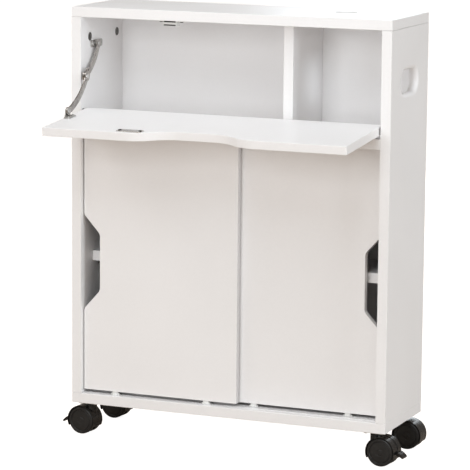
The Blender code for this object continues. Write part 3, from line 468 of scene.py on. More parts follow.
def make_door(side, inward):
    """A door with a finger notch in its outer edge. inward is the way from that edge into the door."""
    node = f"{side}_sliding_door"
    low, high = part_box(node)
    outer = high.x if inward < 0 else low.x
    inner = low.x if inward < 0 else high.x
    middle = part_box("bottom_panel")[1].z + DOOR_NOTCH_RISE
    deep = outer + inward * DOOR_NOTCH_DEPTH
    heights = [(outer, middle - DOOR_NOTCH_MOUTH / 2), (deep, middle - DOOR_NOTCH_FLAT / 2),
               (deep, middle + DOOR_NOTCH_FLAT / 2), (outer, middle + DOOR_NOTCH_MOUTH / 2)]
    outline = [(inner, low.z), (outer, low.z), *heights, (outer, high.z), (inner, high.z)]
    door = slab([(x, low.y, z) for x, z in outline], (0, high.y - low.y, 0))
    door = rounded(door, (0, 1, 0), DOOR_NOTCH_ROUND,
                   lambda point: abs(point.z - middle) < DOOR_NOTCH_MOUTH * 0.51)
    pegs = []
    for end in ("left", "right"):
        glide_low, glide_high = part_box(f"{side}_door_glide_{end}")
        centre = (glide_low + glide_high) / 2
        pegs.append(rod((centre.x, centre.y, low.z - EASE), (centre.x, centre.y, glide_high.z + SEAT),
                        PEG_BORE, 32))
    door = cut(door, *pegs)
    for face in door.faces:  # the upright end faces carry a darker colour: painted shade, as in the seam where the doors meet
        x = face.calc_center_median().x
        if abs(face.normal.x) > SQUARE and min(x - low.x, high.x - x) < EASE:
            face.material_index = 1
    made = piece(f"{side}_sliding_door_foiled", door, WHITE_BOARD, f"{side}_door", [node], edge=EASE)
    # the second material paints shade on the door's upright ends
    made.data.materials.append(PAINTED_END_SHADE)
    for end in ("left", "right"):
        make_glide(f"{side}_door_glide_{end}", f"{side}_door", low.z)


def make_glide(node, body, door_bottom):
    """A moulded foot that stands on the bottom panel, with a fin in its groove and a peg in the door."""
    low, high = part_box(node)
    centre = (low + high) / 2
    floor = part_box("bottom_panel")[1].z
    foot = block((low.x + FOOT_INSET, low.y, floor + SEAT),
                 (high.x - FOOT_INSET, high.y, door_bottom - SEAT))
    foot = rounded(foot, (0, 0, 1), 0.003, segments=6)
    fin = block((low.x + FIN_INSET, centre.y - FIN_HALF, low.z),
                (high.x - FIN_INSET, centre.y + FIN_HALF, floor + FIN_ROOT))
    peg = rod((centre.x, centre.y, floor + FIN_ROOT), (centre.x, centre.y, high.z), PEG_RADIUS, 32)
    piece(node + "_moulded", joined(foot, fin, peg), WHITE_PLASTIC, body, [node], edge=0.0004, segments=2)


# ---------------------------------------------------------------- drop-down flap

HINGE = Vector(JOINTS["flap_hinge"]["pos_m"])
FLAP_OPEN = radians(JOINTS["flap_hinge"]["range_deg"][1])
FLAP_PLACE = Matrix.Translation(HINGE) @ Matrix.Rotation(FLAP_OPEN, 4, "X")
FLAP_OUT = FLAP_PLACE.to_3x3() @ Vector((0, 1, 0))  # away from its inner face
FLAP_THICK = 0.015
FLAP_OUTER = -0.009
FLAP_INNER = FLAP_OUTER + FLAP_THICK
FLAP_TAIL = -0.0124
FLAP_NOTCH_MOUTH = 0.192
FLAP_NOTCH_FLAT = 0.108
FLAP_NOTCH_DEPTH = 0.030
FLAP_NOTCH_MIDDLE = -0.004
FLAP_NOTCH_ROUND = 0.020
FLAP_PIN_HOLE = 0.0203


def flap_reach():
    """From the hinge to the free edge, which is the furthest forward of all."""
    return (HINGE.y - CAD_BOX[0].y + FLAP_INNER * cos(FLAP_OPEN)) / sin(FLAP_OPEN)


def make_flap():
    low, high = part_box("drop_flap")
    reach = flap_reach()
    floor = reach - FLAP_NOTCH_DEPTH
    middle = FLAP_NOTCH_MIDDLE
    mouth = FLAP_NOTCH_MOUTH / 2
    flat = FLAP_NOTCH_FLAT / 2
    outline = [(low.x, FLAP_TAIL), (high.x, FLAP_TAIL), (high.x, reach), (middle + mouth, reach),
               (middle + flat, floor), (middle - flat, floor), (middle - mouth, reach), (low.x, reach)]
    flap = slab([(x, FLAP_OUTER, z) for x, z in outline], (0, FLAP_THICK, 0))
    flap = rounded(flap, (0, 1, 0), FLAP_NOTCH_ROUND,
                   lambda point: abs(point.x - middle) < mouth * 1.1 and point.z > 0, 14)
    holes = [rod((low.x - EASE, 0, 0), (low.x + FLAP_PIN_HOLE, 0, 0), PIN_BORE, 32),
             rod((high.x - FLAP_PIN_HOLE, 0, 0), (high.x + EASE, 0, 0), PIN_BORE, 32)]
    flap = moved(cut(flap, *holes), FLAP_PLACE)
    piece("drop_flap_foiled", flap, WHITE_BOARD, "flap", ["drop_flap"], edge=EASE)


# ---------------------------------------------------------------- screws

SCREW_ROLL = 20  # degrees of the first screw's recess
SCREW_TURN = 37  # degrees from one screw's recess to the next


def screw(radius, height):
    """A pan head that stands on the plane z = 0, with a cross recess."""
    profile = [(0, -0.0004), (radius * 0.9, -0.0004), (radius, height * 0.25),
               (radius * 0.93, height * 0.62), (radius * 0.70, height * 0.9), (radius * 0.36, height),
               (0, height)]
    head = turned(profile, 40)
    arm = radius * 0.56
    slot = radius * 0.11
    depth = height * 0.42
    recess = joined(block((-arm, -slot, depth), (arm, slot, 2 * height)),
                    block((-slot, -arm, depth), (slot, arm, 3 * height)))
    return cut(head, recess)


def screws(name, places, facing, body, radius, height, metal=ZINC):
    """Screw heads at points, all facing one way, in one piece."""
    turn = facing.to_track_quat("Z", "Y").to_matrix().to_4x4()
    heads = []
    for i, place in enumerate(places):
        roll = Matrix.Rotation(radians(SCREW_ROLL + SCREW_TURN * i), 4, "Z")
        heads.append(moved(screw(radius, height), Matrix.Translation(place) @ (turn @ roll)))
    piece(name, together(*heads), metal, body, edge=0.00012, segments=2)


# ---------------------------------------------------------------- hardware in the boards

def facing_x(point, inward):
    """Place a solid built along +Z so that it faces along X, inwards, at a point."""
    return Matrix.Translation(point) @ Matrix.Rotation(inward * pi / 2, 4, "Y")


CAM_RADIUS = 0.0075


def make_cam_lock(node, inward):
    """A turned cam with a rim, a cross recess and an arrow that points at its bolt."""
    low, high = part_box(node)
    centre = (low + high) / 2
    face = Vector((high.x if inward > 0 else low.x, centre.y, centre.z))
    r = CAM_RADIUS
    depth = high.x - low.x
    body = turned([(0, -depth), (r - 0.0006, -depth), (r, 0.0006 - depth), (r, -0.0008), (r - 0.0004, 0),
                   (r - 0.0012, 0), (r - 0.0018, -0.0009), (0, -0.0009)], 48)
    low_arm, high_arm = (-0.0047, -0.0008, -0.0035), (0.0047, 0.0008, 0.002)
    arms = [moved(block(low_arm, high_arm), Matrix.Rotation(angle, 4, "Z")) for angle in (0, pi / 2)]
    tip = [(0.0046, -0.0012, -0.0014), (0.0046, 0.0012, -0.0014), (0.0061, 0, -0.0014)]
    arrow = slab(tip, (0, 0, 0.004))
    cam = moved(cut(body, joined(*arms), arrow), facing_x(face, inward))
    piece(node + "_turned", cam, CAM_ZINC, CABINET, [node])


def make_shelf_pin(node, inward):
    """A pin with a flat-topped spoon that the inner shelf lies on."""
    low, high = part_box(node)
    y = (low.y + high.y) / 2
    top = high.z
    side = "left" if inward > 0 else "right"
    panel_low, panel_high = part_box(f"{side}_side_panel")
    face = panel_high.x if inward > 0 else panel_low.x
    hold = low.x if inward > 0 else high.x
    tip = high.x if inward > 0 else low.x
    axis = top - PIN_RADIUS
    shank = rod((hold, y, axis), (face + inward * 0.001, y, axis), PIN_RADIUS, 32)
    spoon = rod((face + inward * 0.0008, y, axis), (tip, y, axis), 0.0033, 32)
    level = block((min(face, tip) - 0.01, y - 0.01, top), (max(face, tip) + 0.01, y + 0.01, top + 0.01))
    drop = top - 0.004
    collar = rod((face + inward * SEAT, y, drop), (face + inward * 0.0015, y, drop), 0.0048, 40)
    pin = cut(joined(shank, spoon, collar), level)
    piece(node + "_pressed", pin, ZINC, CABINET, [node], edge=0.0002, segments=2)


def make_pivot(side, inward):
    """The bush in the side and the pin in the flap's end."""
    node = f"pivot_bush_{side}"
    low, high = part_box(node)
    face = low.x if inward < 0 else high.x
    back = high.x if inward < 0 else low.x
    length = abs(face - back)
    y, z = HINGE.y, HINGE.z
    profile = [(PIN_BORE, -length), (0.0045, -length), (0.0045, -0.0016), (0.0065, -0.0016),
               (0.0065, -0.0005), (0.0060, 0), (0.0034, 0), (PIN_BORE, -0.0006), (PIN_BORE, -length)]
    bush = moved(turned(profile, 48), facing_x(Vector((face, y, z)), inward))
    piece(node + "_moulded", bush, BLACK_PLASTIC, CABINET, [node])
    pin_node = f"flap_pin_{side}"
    pin_low, pin_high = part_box(pin_node)
    pin = rod((pin_low.x, y, z), (pin_high.x, y, z), PIN_RADIUS, 40)
    piece(pin_node + "_turned", pin, ZINC, "flap", [pin_node], edge=0.0004)


def make_side_hardware():
    for side, inward in (("left", 1), ("right", -1)):
        make_pivot(side, inward)
        for row in ("front", "rear"):
            make_cam_lock(f"cam_lock_{side}_{row}", inward)
            make_shelf_pin(f"shelf_pin_{side}_{row}", inward)


# ---------------------------------------------------------------- magnetic catch and strike

CATCH_HALF = 0.013
CATCH_SCREW_STEP = 0.0195
STRIKE_INSET = 0.0040
STRIKE_WIDTH = 0.0165
STRIKE_THICK = 0.0012
STRIKE_SCREW_STEP = 0.019


def make_catch():
    """A moulded body with an ear at each end, a magnet and its two poles."""
    low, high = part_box("catch_body")
    middle = (low.x + high.x) / 2
    body = block((middle - CATCH_HALF, low.y, low.z), (middle + CATCH_HALF, high.y, high.z))
    ear_low = Vector((low.x, low.y + 0.0025, high.z - 0.0028))
    ears = block(ear_low, (high.x, high.y - 0.0025, high.z - 0.0004))
    ears = rounded(ears, (0, 0, 1), 0.0048, segments=8)
    plates = ("catch_plate_upper", "catch_plate_lower")
    pockets = [around(node) for node in (*plates, "catch_magnet")]
    piece("catch_body_moulded", cut(joined(body, ears), *pockets), WHITE_PLASTIC, CABINET, ["catch_body"],
          edge=0.00018, segments=2)
    for node in plates:
        piece(node + "_pressed", block(*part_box(node)), POLE_STEEL, CABINET, [node], edge=0.0002, segments=2)
    piece("catch_magnet_sintered", block(*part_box("catch_magnet")), MAGNET, CABINET, ["catch_magnet"],
          edge=0.0004, segments=2)
    y = (low.y + high.y) / 2
    places = [(middle + step, y, ear_low.z) for step in (-CATCH_SCREW_STEP, CATCH_SCREW_STEP)]
    screws("catch_screws", places, Vector((0, 0, -1)), CABINET, 0.0032, 0.0017, POLE_STEEL)


def make_strike():
    """A pressed strike plate with a screw at each end."""
    low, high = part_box("strike_plate")
    middle = (low.x + high.x) / 2
    half = (high.x - low.x) / 2
    top = flap_reach() - STRIKE_INSET
    face = FLAP_INNER + SEAT
    plate = block((middle - half, face, top - STRIKE_WIDTH), (middle + half, face + STRIKE_THICK, top))
    plate = moved(rounded(plate, (0, 1, 0), 0.003, segments=6), FLAP_PLACE)
    piece("strike_plate_pressed", plate, NICKEL, "flap", ["strike_plate"], edge=0.0003, segments=2)
    places = [FLAP_PLACE @ Vector((middle + step, face + STRIKE_THICK, top - STRIKE_WIDTH / 2))
              for step in (-STRIKE_SCREW_STEP, STRIKE_SCREW_STEP)]
    screws("strike_screws", places, FLAP_OUT, "flap", 0.0030, 0.0011, POLE_STEEL)


# ---------------------------------------------------------------- flap stay

WALL_PIVOT = Vector(JOINTS["stay_upper_pivot"]["pos_m"])
FLAP_PIVOT = Vector(JOINTS["stay_lower_pivot"]["pos_m"])
ARM_THICK = 0.0022
ARM_HALF = 0.0058
ARM_BOW = 0.0080
STUD = 0.0025
HEAD = 0.0046
HEAD_RISE = 0.0015
RAISED = 0.00015  # the eyes are pressed a little thicker than the bars
WALL_EYE = 0.0078
LUG_EYE = 0.0072
UPPER_ELBOW_EYE = 0.0092
LOWER_ELBOW_EYE = 0.0090
LOBE = Vector((0.0105, 0.0020))  # the upper arm's stop, from the elbow
LOBE_RADIUS = 0.0072
HOOK = Vector((0.0035, 0.0105))  # the lower arm's drilled ear, from the elbow
HOOK_RADIUS = 0.0052
HOOK_BORE = 0.0022
BRACKET_THICK = 0.002
WALL_SCREW_STEP = 0.0165
FOOT_WIDTH = 0.012
FOOT_HALF = 0.014
EAR_HALF = 0.0066
EAR_FOOT_HALF = 0.0105
FOOT_SCREW_X = 0.0075
FOOT_SCREW_STEP = 0.0095


def arc_strip(start, end, bow, half, x, thick):
    """A flat curved bar between two (y, z) points, to the right of their line for a positive bow."""
    line = end - start
    radius = (line.length_squared / 4 + bow * bow) / (2 * abs(bow))
    side = Vector((line.y, -line.x)).normalized() * (1 if bow > 0 else -1)
    centre = (start + end) / 2 + side * (abs(bow) - radius)
    sweep = 2 * asin(line.length / 2 / radius)
    strip = bmesh.new()
    away = (start - centre).normalized()
    ends = [strip.verts.new((x, *(centre + away * (radius + step)))) for step in (-half, half)]
    edge = strip.edges.new(ends)
    turn = sweep if bow > 0 else -sweep
    bmesh.ops.spin(strip, geom=[*ends, edge], cent=(x, *centre), axis=(1, 0, 0), angle=turn, steps=24)
    return pull(strip, list(strip.faces), (thick, 0, 0))


def disc(place, radius, x, thick, sides=56):
    return rod((x, *place), (x + thick, *place), radius, sides)


def stay_elbow():
    """Where the arms meet with the flap let down, from the lower arm's rivet."""
    low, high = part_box("stay_elbow_rivet")
    return Vector(((low.y + high.y) / 2, (low.z + high.z) / 2))


def make_stay():
    elbow = stay_elbow()
    wall = Vector(WALL_PIVOT.yz)
    lug = Vector(FLAP_PIVOT.yz)
    upper_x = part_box("stay_upper_arm")[0].x
    lower_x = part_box("stay_lower_arm")[0].x
    upper = arc_strip(wall, elbow, -ARM_BOW, ARM_HALF, upper_x, ARM_THICK)
    upper = joined(upper, disc(wall, WALL_EYE, upper_x - RAISED, ARM_THICK + 2 * RAISED),
                   disc(elbow, UPPER_ELBOW_EYE, upper_x - RAISED, ARM_THICK + 1.5 * RAISED),
                   disc(elbow + LOBE, LOBE_RADIUS, upper_x + RAISED, ARM_THICK - 2 * RAISED))
    upper = cut(upper, disc(wall, STUD + SEAT, upper_x - ARM_THICK, 3 * ARM_THICK))
    piece("stay_upper_arm_pressed", upper, STEEL, "stay_upper", ["stay_upper_arm"], edge=0.0004, segments=2)
    lower = arc_strip(elbow, lug, -ARM_BOW, ARM_HALF, lower_x, ARM_THICK)
    hook = elbow + HOOK
    lower = joined(lower, disc(elbow, LOWER_ELBOW_EYE, lower_x - RAISED, ARM_THICK + 2 * RAISED),
                   disc(lug, LUG_EYE, lower_x - RAISED, ARM_THICK + 2 * RAISED),
                   disc(hook, HOOK_RADIUS, lower_x + RAISED, ARM_THICK - 2 * RAISED))
    lower = cut(lower, disc(elbow, STUD + SEAT, lower_x - ARM_THICK, 3 * ARM_THICK),
                disc(lug, STUD + SEAT, lower_x - ARM_THICK, 3 * ARM_THICK),
                disc(hook, HOOK_BORE, lower_x - ARM_THICK, 3 * ARM_THICK))
    piece("stay_lower_arm_pressed", lower, STEEL, "stay_lower", ["stay_lower_arm"], edge=0.0004, segments=2)
    make_elbow_rivet(elbow)
    make_wall_bracket(wall)
    make_flap_bracket(lug)


def rivet_head(radius, height):
    """A domed rivet head on the plane z = 0."""
    angles = [i * pi / 12 for i in range(7)]
    dome = [(radius * cos(a), height * 0.25 + height * 0.75 * sin(a)) for a in angles]
    return turned([(0, 0), (radius, 0), *dome], 40)


def make_elbow_rivet(elbow):
    low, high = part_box("stay_elbow_rivet")
    near, far = (corner.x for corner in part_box("stay_lower_arm"))
    shank = rod((low.x + 0.0002, *elbow), (far + 2 * SEAT, *elbow), STUD, 32)
    inner = rod((low.x, *elbow), (near - SEAT, *elbow), HEAD, 40)
    head = moved(rivet_head(HEAD, high.x - far - SEAT), facing_x(Vector((far + SEAT, *elbow)), 1))
    rivet = joined(shank, inner, head)
    piece("stay_elbow_rivet_formed", rivet, NICKEL, "stay_lower", ["stay_elbow_rivet"], sharp=40)


def make_wall_bracket(wall):
    """A plate screwed to the side, with a collar and a headed stud for the upper arm."""
    low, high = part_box("stay_wall_bracket")
    out = low.x + BRACKET_THICK
    inside = low.x + BRACKET_THICK / 2
    plate = block(low, (out, high.y, high.z))
    plate = rounded(plate, (1, 0, 0), 0.0045, segments=8)
    near, far = (corner.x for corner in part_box("stay_upper_arm"))
    collar = rod((inside, *wall), (near - 2 * SEAT, *wall), 0.0052, 40)
    stud = rod((inside, *wall), (far + 2 * SEAT, *wall), STUD, 32)
    head = moved(rivet_head(HEAD, high.x - far - SEAT), facing_x(Vector((far + SEAT, *wall)), 1))
    bracket = joined(plate, collar, stud, head)
    piece("stay_wall_bracket_pressed", bracket, ZINC, CABINET, ["stay_wall_bracket"], edge=0.0003,
          segments=2)
    middle = (low.y + high.y) / 2
    places = [(out, middle + step, wall.y) for step in (-WALL_SCREW_STEP, WALL_SCREW_STEP)]
    screws("wall_bracket_screws", places, Vector((1, 0, 0)), CABINET, 0.0038, 0.0020)


def make_flap_bracket(lug):
    """An angle on the flap whose ear carries the lower arm. Built shut about the hinge, then let down."""
    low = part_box("stay_flap_bracket")[0]
    near, far = (corner.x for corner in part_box("stay_lower_arm"))
    place = FLAP_PLACE.inverted() @ Vector((0, *lug))
    y, z = place.y, place.z
    face = FLAP_INNER + SEAT
    out = face + BRACKET_THICK
    inside = face + BRACKET_THICK / 2
    base = block((low.x, face, z - FOOT_HALF), (low.x + FOOT_WIDTH, out, z + FOOT_HALF))
    base = rounded(base, (0, 1, 0), 0.0022, segments=6)
    ear_x = low.x + 0.0004
    outline = [(inside, z - EAR_FOOT_HALF), (y, z - EAR_HALF), (y + EAR_HALF, z - EAR_HALF),
               (y + EAR_HALF, z + EAR_HALF), (y, z + EAR_HALF), (inside, z + EAR_FOOT_HALF)]
    ear = slab([(ear_x, *point) for point in outline], (near - 2 * SEAT - ear_x, 0, 0))
    ear = rounded(ear, (1, 0, 0), 0.0055, lambda point: point.y > y + 0.005, 8)
    stud = rod((ear_x + 0.001, y, z), (far + 2 * SEAT, y, z), STUD, 32)
    head = moved(rivet_head(HEAD, HEAD_RISE), facing_x(Vector((far + SEAT, y, z)), 1))
    bracket = moved(joined(base, ear, stud, head), FLAP_PLACE)
    piece("stay_flap_bracket_pressed", bracket, ZINC, "flap", ["stay_flap_bracket"], edge=0.0003,
          segments=2)
    places = [FLAP_PLACE @ Vector((low.x + FOOT_SCREW_X, out, z + step))
              for step in (-FOOT_SCREW_STEP, FOOT_SCREW_STEP)]
    screws("flap_bracket_screws", places, FLAP_OUT, "flap", 0.0028, 0.0015)


# ---------------------------------------------------------------- casters

CORNERS = ("front_left", "front_right", "rear_left", "rear_right")
AXLE_RADIUS = 0.003
WEB_HALF = 0.004
HOOD_WALL = 0.0014
HOOD_SKIRT = 0.011
HOOD_GAP = 0.0024
HOOD_HALF = 0.0161
HOUSING_RADIUS = 0.010
STEM_RADIUS = 0.004
STEM_BORE = 0.0043
STEM_HOLE_DEPTH = 0.0133
WHEEL_WIDTH = 0.0117
WHEEL_INSIDE = 0.0044
PLATE_THICK = 0.0022
PLATE_SCREW_STEP = 0.0142
BRAKE_REACH = 0.032  # the lever's pin, out from the axle
BRAKE_DROP = 0.001  # and below it
BRAKE_PIN_RADIUS = 0.0014
BRAKE_PIN_BORE = 0.0017
BARREL_RADIUS = 0.0034
TREAD_HALF = 0.0085
TREAD_REACH = 0.0095
TREAD_DROP = 0.0050
TREAD_START = 0.0046
TREAD_TOP = 0.0010


class Caster:
    """Where one caster stands: built with local +X along its trail and +Z up."""

    def __init__(self, corner):
        swivel = JOINTS[f"swivel_{corner}"]
        roll = JOINTS[f"roll_{corner}_outer"]
        stem = Vector(swivel["pos_m"])
        stem.z = 0
        axis = Vector(roll["axis"])
        self.corner = corner
        self.place = Matrix.Translation(stem) @ Matrix.Rotation(atan2(-axis.x, axis.y), 4, "Z")
        self.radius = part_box(f"caster_wheel_{corner}_outer")[1].z / 2
        self.trail = (Vector(roll["pos_m"]).xy - stem.xy).length
        self.braked = corner.startswith("front")

    def put(self, solid):
        return moved(solid, self.place)


def wheel_profile(r, w):
    """Tyre, lip, groove and a slightly domed hubcap, from the inner side at 0 to the outer face at w."""
    bore = AXLE_RADIUS + SEAT
    back, front = 0.0022, 0.0026  # radii of the tyre's shoulders
    profile = [(0, 0.0078), (bore, 0.0078), (bore, 0.0004), (bore + 0.0004, 0), (0.0085, 0),
               (0.0092, 0.0012), (r - 0.0052, 0.0012), (r - 0.0045, 0), (r - back, 0)]
    profile += [(r - back + back * sin(a), back - back * cos(a)) for a in ROLLED_STEPS]
    profile += [(r, back), (r, w - front)]
    profile += [(r - front + front * cos(a), w - front + front * sin(a)) for a in ROLLED_STEPS]
    profile += [(r - front, w), (r - 0.0048, w - 0.0001), (r - 0.0053, w - 0.0008),
                (r - 0.0058, w - 0.0013), (r - 0.0064, w - 0.0012), (r - 0.0069, w - 0.0007),
                (r * 0.60, w - 0.0004), (r * 0.40, w - 0.0003), (r * 0.27, w - 0.0003),
                (r * 0.25, w - 0.0006),
                (r * 0.22, w - 0.0006), (r * 0.20, w - 0.0002), (r * 0.10, w), (0, w)]
    return profile


def make_wheels(caster):
    for side, facing in (("outer", -1), ("inner", 1)):
        wheel = turned(wheel_profile(caster.radius, WHEEL_WIDTH), 72)
        stand = Matrix.Translation((caster.trail, facing * WHEEL_INSIDE, caster.radius))
        wheel = moved(wheel, stand @ Matrix.Rotation(-facing * pi / 2, 4, "X"))
        node = f"caster_wheel_{caster.corner}_{side}"
        body = f"wheel_{caster.corner}_{side}"
        piece(node + "_moulded", caster.put(wheel), DARK_WHEEL, body, [node], sharp=28)
    half = WHEEL_INSIDE + 0.0074
    axle = rod((caster.trail, -half, caster.radius), (caster.trail, half, caster.radius), AXLE_RADIUS, 32)
    node = f"caster_axle_{caster.corner}"
    body = f"caster_{caster.corner}"
    piece(node + "_turned", caster.put(axle), ZINC, body, [node], edge=0.0004, segments=2)


def make_hood(caster):
    """A half-round hood over both wheels, with a web between them and a housing round the stem."""
    x, z = caster.trail, caster.radius
    outer = caster.radius + HOOD_GAP
    shell = rod((x, -HOOD_HALF, z), (x, HOOD_HALF, z), outer, 96)
    shell = cut(shell, block((x - 0.04, -0.03, z - 0.04), (x + 0.04, 0.03, z - HOOD_SKIRT)))
    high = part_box(f"caster_hood_{caster.corner}")[1]
    housing = rod((0, 0, z + 0.006), (0, 0, high.z), HOUSING_RADIUS, 56)
    cutters = [rod((x, facing * WEB_HALF, z), (x, facing * 0.04, z), outer - HOOD_WALL, 96)
               for facing in (-1, 1)]
    cutters.append(rod((0, 0, high.z - STEM_HOLE_DEPTH), (0, 0, high.z + 0.01), STEM_BORE, 32))
    hood = joined(shell, housing)
    if caster.braked:
        reach = x + BRAKE_REACH
        height = z - BRAKE_DROP
        lug = block((x + outer - 0.004, -0.0037, height - 0.0027),
                    (reach + 0.0024, 0.0037, height + 0.0027))
        lug = rounded(lug, (0, 1, 0), 0.0012, segments=4)
        pin = rod((reach, -0.0082, height), (reach, 0.0082, height), BRAKE_PIN_RADIUS, 24)
        hood = joined(hood, lug, pin)
        cutters.append(cut(rod((x, -0.0032, z), (x, 0.0032, z), outer + 0.004, 72),
                           rod((x, -0.01, z), (x, 0.01, z), outer - 0.0008, 72),
                           block((x - 0.05, -0.01, z - 0.05), (x - 0.004, 0.01, z + 0.05)),
                           block((x - 0.05, -0.01, z - 0.05), (x + 0.05, 0.01, z + 0.004))))
    hood = cut(hood, *cutters)
    hood = caster.put(cut(hood, rod((x, -0.03, z), (x, 0.03, z), AXLE_RADIUS + SEAT, 32)))
    node = f"caster_hood_{caster.corner}"
    piece(node + "_moulded", hood, BLACK_PLASTIC, f"caster_{caster.corner}", [node], edge=0.0005, sharp=30)


def make_caster_plate(caster):
    """A plate under the cabinet, with the collar and stem that the hood turns on."""
    node = f"caster_plate_{caster.corner}"
    low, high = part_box(node)
    under = high.z - PLATE_THICK
    inside = high.z - PLATE_THICK / 2
    housing_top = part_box(f"caster_hood_{caster.corner}")[1].z
    plate = rounded(block((low.x, low.y, under), high), (0, 0, 1), 0.004, segments=8)
    x, y = (low.x + high.x) / 2, (low.y + high.y) / 2
    collar = rod((x, y, housing_top + SEAT), (x, y, inside), 0.0075, 40, 0.0090)
    stem = rod((x, y, low.z), (x, y, inside), STEM_RADIUS, 32)
    piece(node + "_pressed", joined(plate, collar, stem), ZINC, CABINET, [node], edge=0.0003, segments=2)
    step = PLATE_SCREW_STEP
    places = [(x + a, y + b, under) for a in (-step, step) for b in (-step, step)]
    screws(f"caster_screws_{caster.corner}", places, Vector((0, 0, -1)), CABINET, 0.0034, 0.0018)


def make_brake_lever(caster):
    """A foot lever with a ribbed tread, two cheeks and a pin hole."""
    side = caster.corner.split("_")[1]
    r = BARREL_RADIUS
    half = TREAD_HALF
    reach = TREAD_REACH
    drop = TREAD_DROP
    outline = [(-0.0005, r - 0.0002), (TREAD_START, TREAD_TOP), (reach, -drop + 0.0012),
               (reach, -drop - 0.0008), (reach - 0.001, -drop - 0.0022), (0.0010, -r + 0.0002)]
    tread = slab([(x, -half, z) for x, z in outline], (0, 2 * half, 0))
    lever = joined(tread, rod((0, -half, 0), (0, half, 0), r, 40))
    slot = block((-2 * r, -WEB_HALF, -2 * r), (r * 0.7 + 2 * SEAT, WEB_HALF, 2 * r))
    pin = rod((0, -2 * half, 0), (0, 2 * half, 0), BRAKE_PIN_BORE, 24)
    slope = atan2(drop, reach - TREAD_START)
    grooves = []
    for i in range(3):
        along = 0.0056 + 0.0014 * i
        top = TREAD_TOP - (along - TREAD_START) * tan(slope) + 0.0002
        grooves.append(rod((along, -half * 0.75, top), (along, half * 0.75, top), 0.0004, 12))
    lever = cut(lever, slot, pin, *grooves)
    stand = Matrix.Translation((caster.trail + BRAKE_REACH, 0, caster.radius - BRAKE_DROP))
    node = f"brake_lever_{caster.corner}"
    piece(node + "_moulded", caster.put(moved(lever, stand)), BLACK_PLASTIC, f"brake_{side}", [node],
          edge=0.0004, segments=2)


def make_casters():
    for corner in CORNERS:
        caster = Caster(corner)
        make_caster_plate(caster)
        make_hood(caster)
        make_wheels(caster)
        if caster.braked:
            make_brake_lever(caster)


make_top_panel()
make_bottom_panel()
make_sides()
make_shelves()
make_door("left", 1)
make_door("right", -1)
make_flap()
make_side_hardware()
make_catch()
make_strike()
make_stay()
make_casters()


# ---------------------------------------------------------------- studio

AIM = Vector((0, 0, 0.45))
FLOOR_REACH = 30.0
FLOOR_GLOW = 0.95  # only as seen, so the glow doesn't light the cabinet from below
SURROUND = 0.30
SURROUND_COLOUR = (1.0, 0.88, 0.78)
SOFT_DISTANCE = 3.5
FLOOR_COLOUR = (0.45, 0.375, 0.31)
COOL = (0.92, 1.0, 1.06)
SOFT_WHITE = (0.97, 1.0, 1.02)
NEUTRAL = (1.0, 1.0, 1.0)
SENSOR = 36.0
LENS = 208.4
CAMERA_PLACE = Vector((1.810, -4.330 + FRONT, 1.172))
CAMERA_TURN = (radians(22.5), radians(9.47), radians(0.51))  # azimuth, pitch and roll


def make_floor():
    solid = bmesh.new()
    bmesh.ops.create_grid(solid, x_segments=1, y_segments=1, size=FLOOR_REACH)
    mesh = bpy.data.meshes.new("studio_floor")
    solid.to_mesh(mesh)
    solid.free()
    material = bpy.data.materials.new("studio_floor")
    material.use_nodes = True
    shader = material.node_tree.nodes["Principled BSDF"]
    shader.inputs["Base Color"].default_value = (*FLOOR_COLOUR, 1.0)
    shader.inputs["Roughness"].default_value = 0.9
    shader.inputs["Specular IOR Level"].default_value = 0.1
    shader.inputs["Emission Color"].default_value = (*NEUTRAL, 1.0)
    tree = material.node_tree
    path = add(tree, "ShaderNodeLightPath")
    glow = add(tree, "ShaderNodeMath", {"operation": "MULTIPLY"},
               {0: path.outputs["Is Camera Ray"], 1: FLOOR_GLOW})
    tree.links.new(glow.outputs[0], shader.inputs["Emission Strength"])
    mesh.materials.append(material)
    floor = bpy.data.objects.new("studio_floor", mesh)
    bpy.context.scene.collection.objects.link(floor)


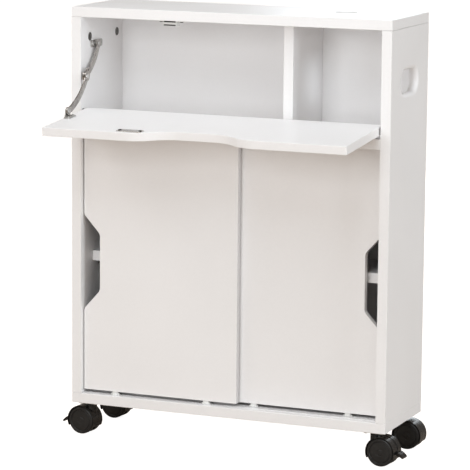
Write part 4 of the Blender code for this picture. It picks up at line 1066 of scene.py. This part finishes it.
def softbox(name, azimuth, elevation, size, power, colour=NEUTRAL):
    """A square soft light aimed at the cabinet. Azimuth 0 is in front and 90 is at the right."""
    data = bpy.data.lights.new(name, "AREA")
    data.size = size
    data.energy = power
    data.color = colour
    lamp = bpy.data.objects.new(name, data)
    turn, rise = radians(azimuth), radians(elevation)
    away = Vector((sin(turn) * cos(rise), -cos(turn) * cos(rise), sin(rise)))
    lamp.location = AIM + away * SOFT_DISTANCE
    lamp.rotation_mode = "QUATERNION"
    lamp.rotation_quaternion = away.to_track_quat("Z", "Y")
    bpy.context.scene.collection.objects.link(lamp)


def make_world():
    """An even surround, seen as white and lighting with a dimmer, warmer tone."""
    world = bpy.data.worlds.new("studio")
    world.use_nodes = True
    tree = world.node_tree
    surround = tree.nodes["Background"]
    surround.inputs["Strength"].default_value = SURROUND
    surround.inputs["Color"].default_value = (*SURROUND_COLOUR, 1.0)
    seen = add(tree, "ShaderNodeBackground", inputs={"Strength": 1.0, "Color": (*NEUTRAL, 1.0)})
    path = add(tree, "ShaderNodeLightPath")
    mix = add(tree, "ShaderNodeMixShader",
              inputs={0: path.outputs["Is Camera Ray"], 1: surround.outputs[0], 2: seen.outputs[0]})
    tree.links.new(mix.outputs[0], tree.nodes["World Output"].inputs["Surface"])
    bpy.context.scene.world = world
    bpy.context.scene.view_settings.view_transform = "Standard"


def make_camera():
    """The view: from the right of the front, a little above, with a long lens."""
    azimuth, pitch, roll = CAMERA_TURN
    data = bpy.data.cameras.new("camera")
    data.sensor_width = SENSOR
    data.lens = LENS
    camera = bpy.data.objects.new("camera", data)
    forward = Vector((-sin(azimuth) * cos(pitch), cos(azimuth) * cos(pitch), -sin(pitch)))
    across = forward.cross(Vector((0, 0, 1))).normalized()
    up = across.cross(forward)
    right = across * cos(roll) + up * sin(roll)
    top = up * cos(roll) - across * sin(roll)
    turn = Matrix((right, top, -forward)).transposed()
    camera.matrix_world = Matrix.Translation(CAMERA_PLACE) @ turn.to_4x4()
    bpy.context.scene.collection.objects.link(camera)
    bpy.context.scene.camera = camera


make_floor()
make_world()
softbox("key", 10, 45, 1.4, 20.0, COOL)
softbox("front", 0, 12, 1.6, 41.0, SOFT_WHITE)
softbox("right", 45, 25, 1.3, 8.0, COOL)
softbox("right_low", 82, 8, 1.3, 47.0, COOL)
softbox("overhead", 20, 75, 1.9, 32.0, COOL)
softbox("left", -60, 45, 1.4, 25.0)
softbox("left_rear", -120, 12, 1.4, 24.0, COOL)
softbox("rear", 185, 10, 1.9, 34.0, COOL)
make_camera()
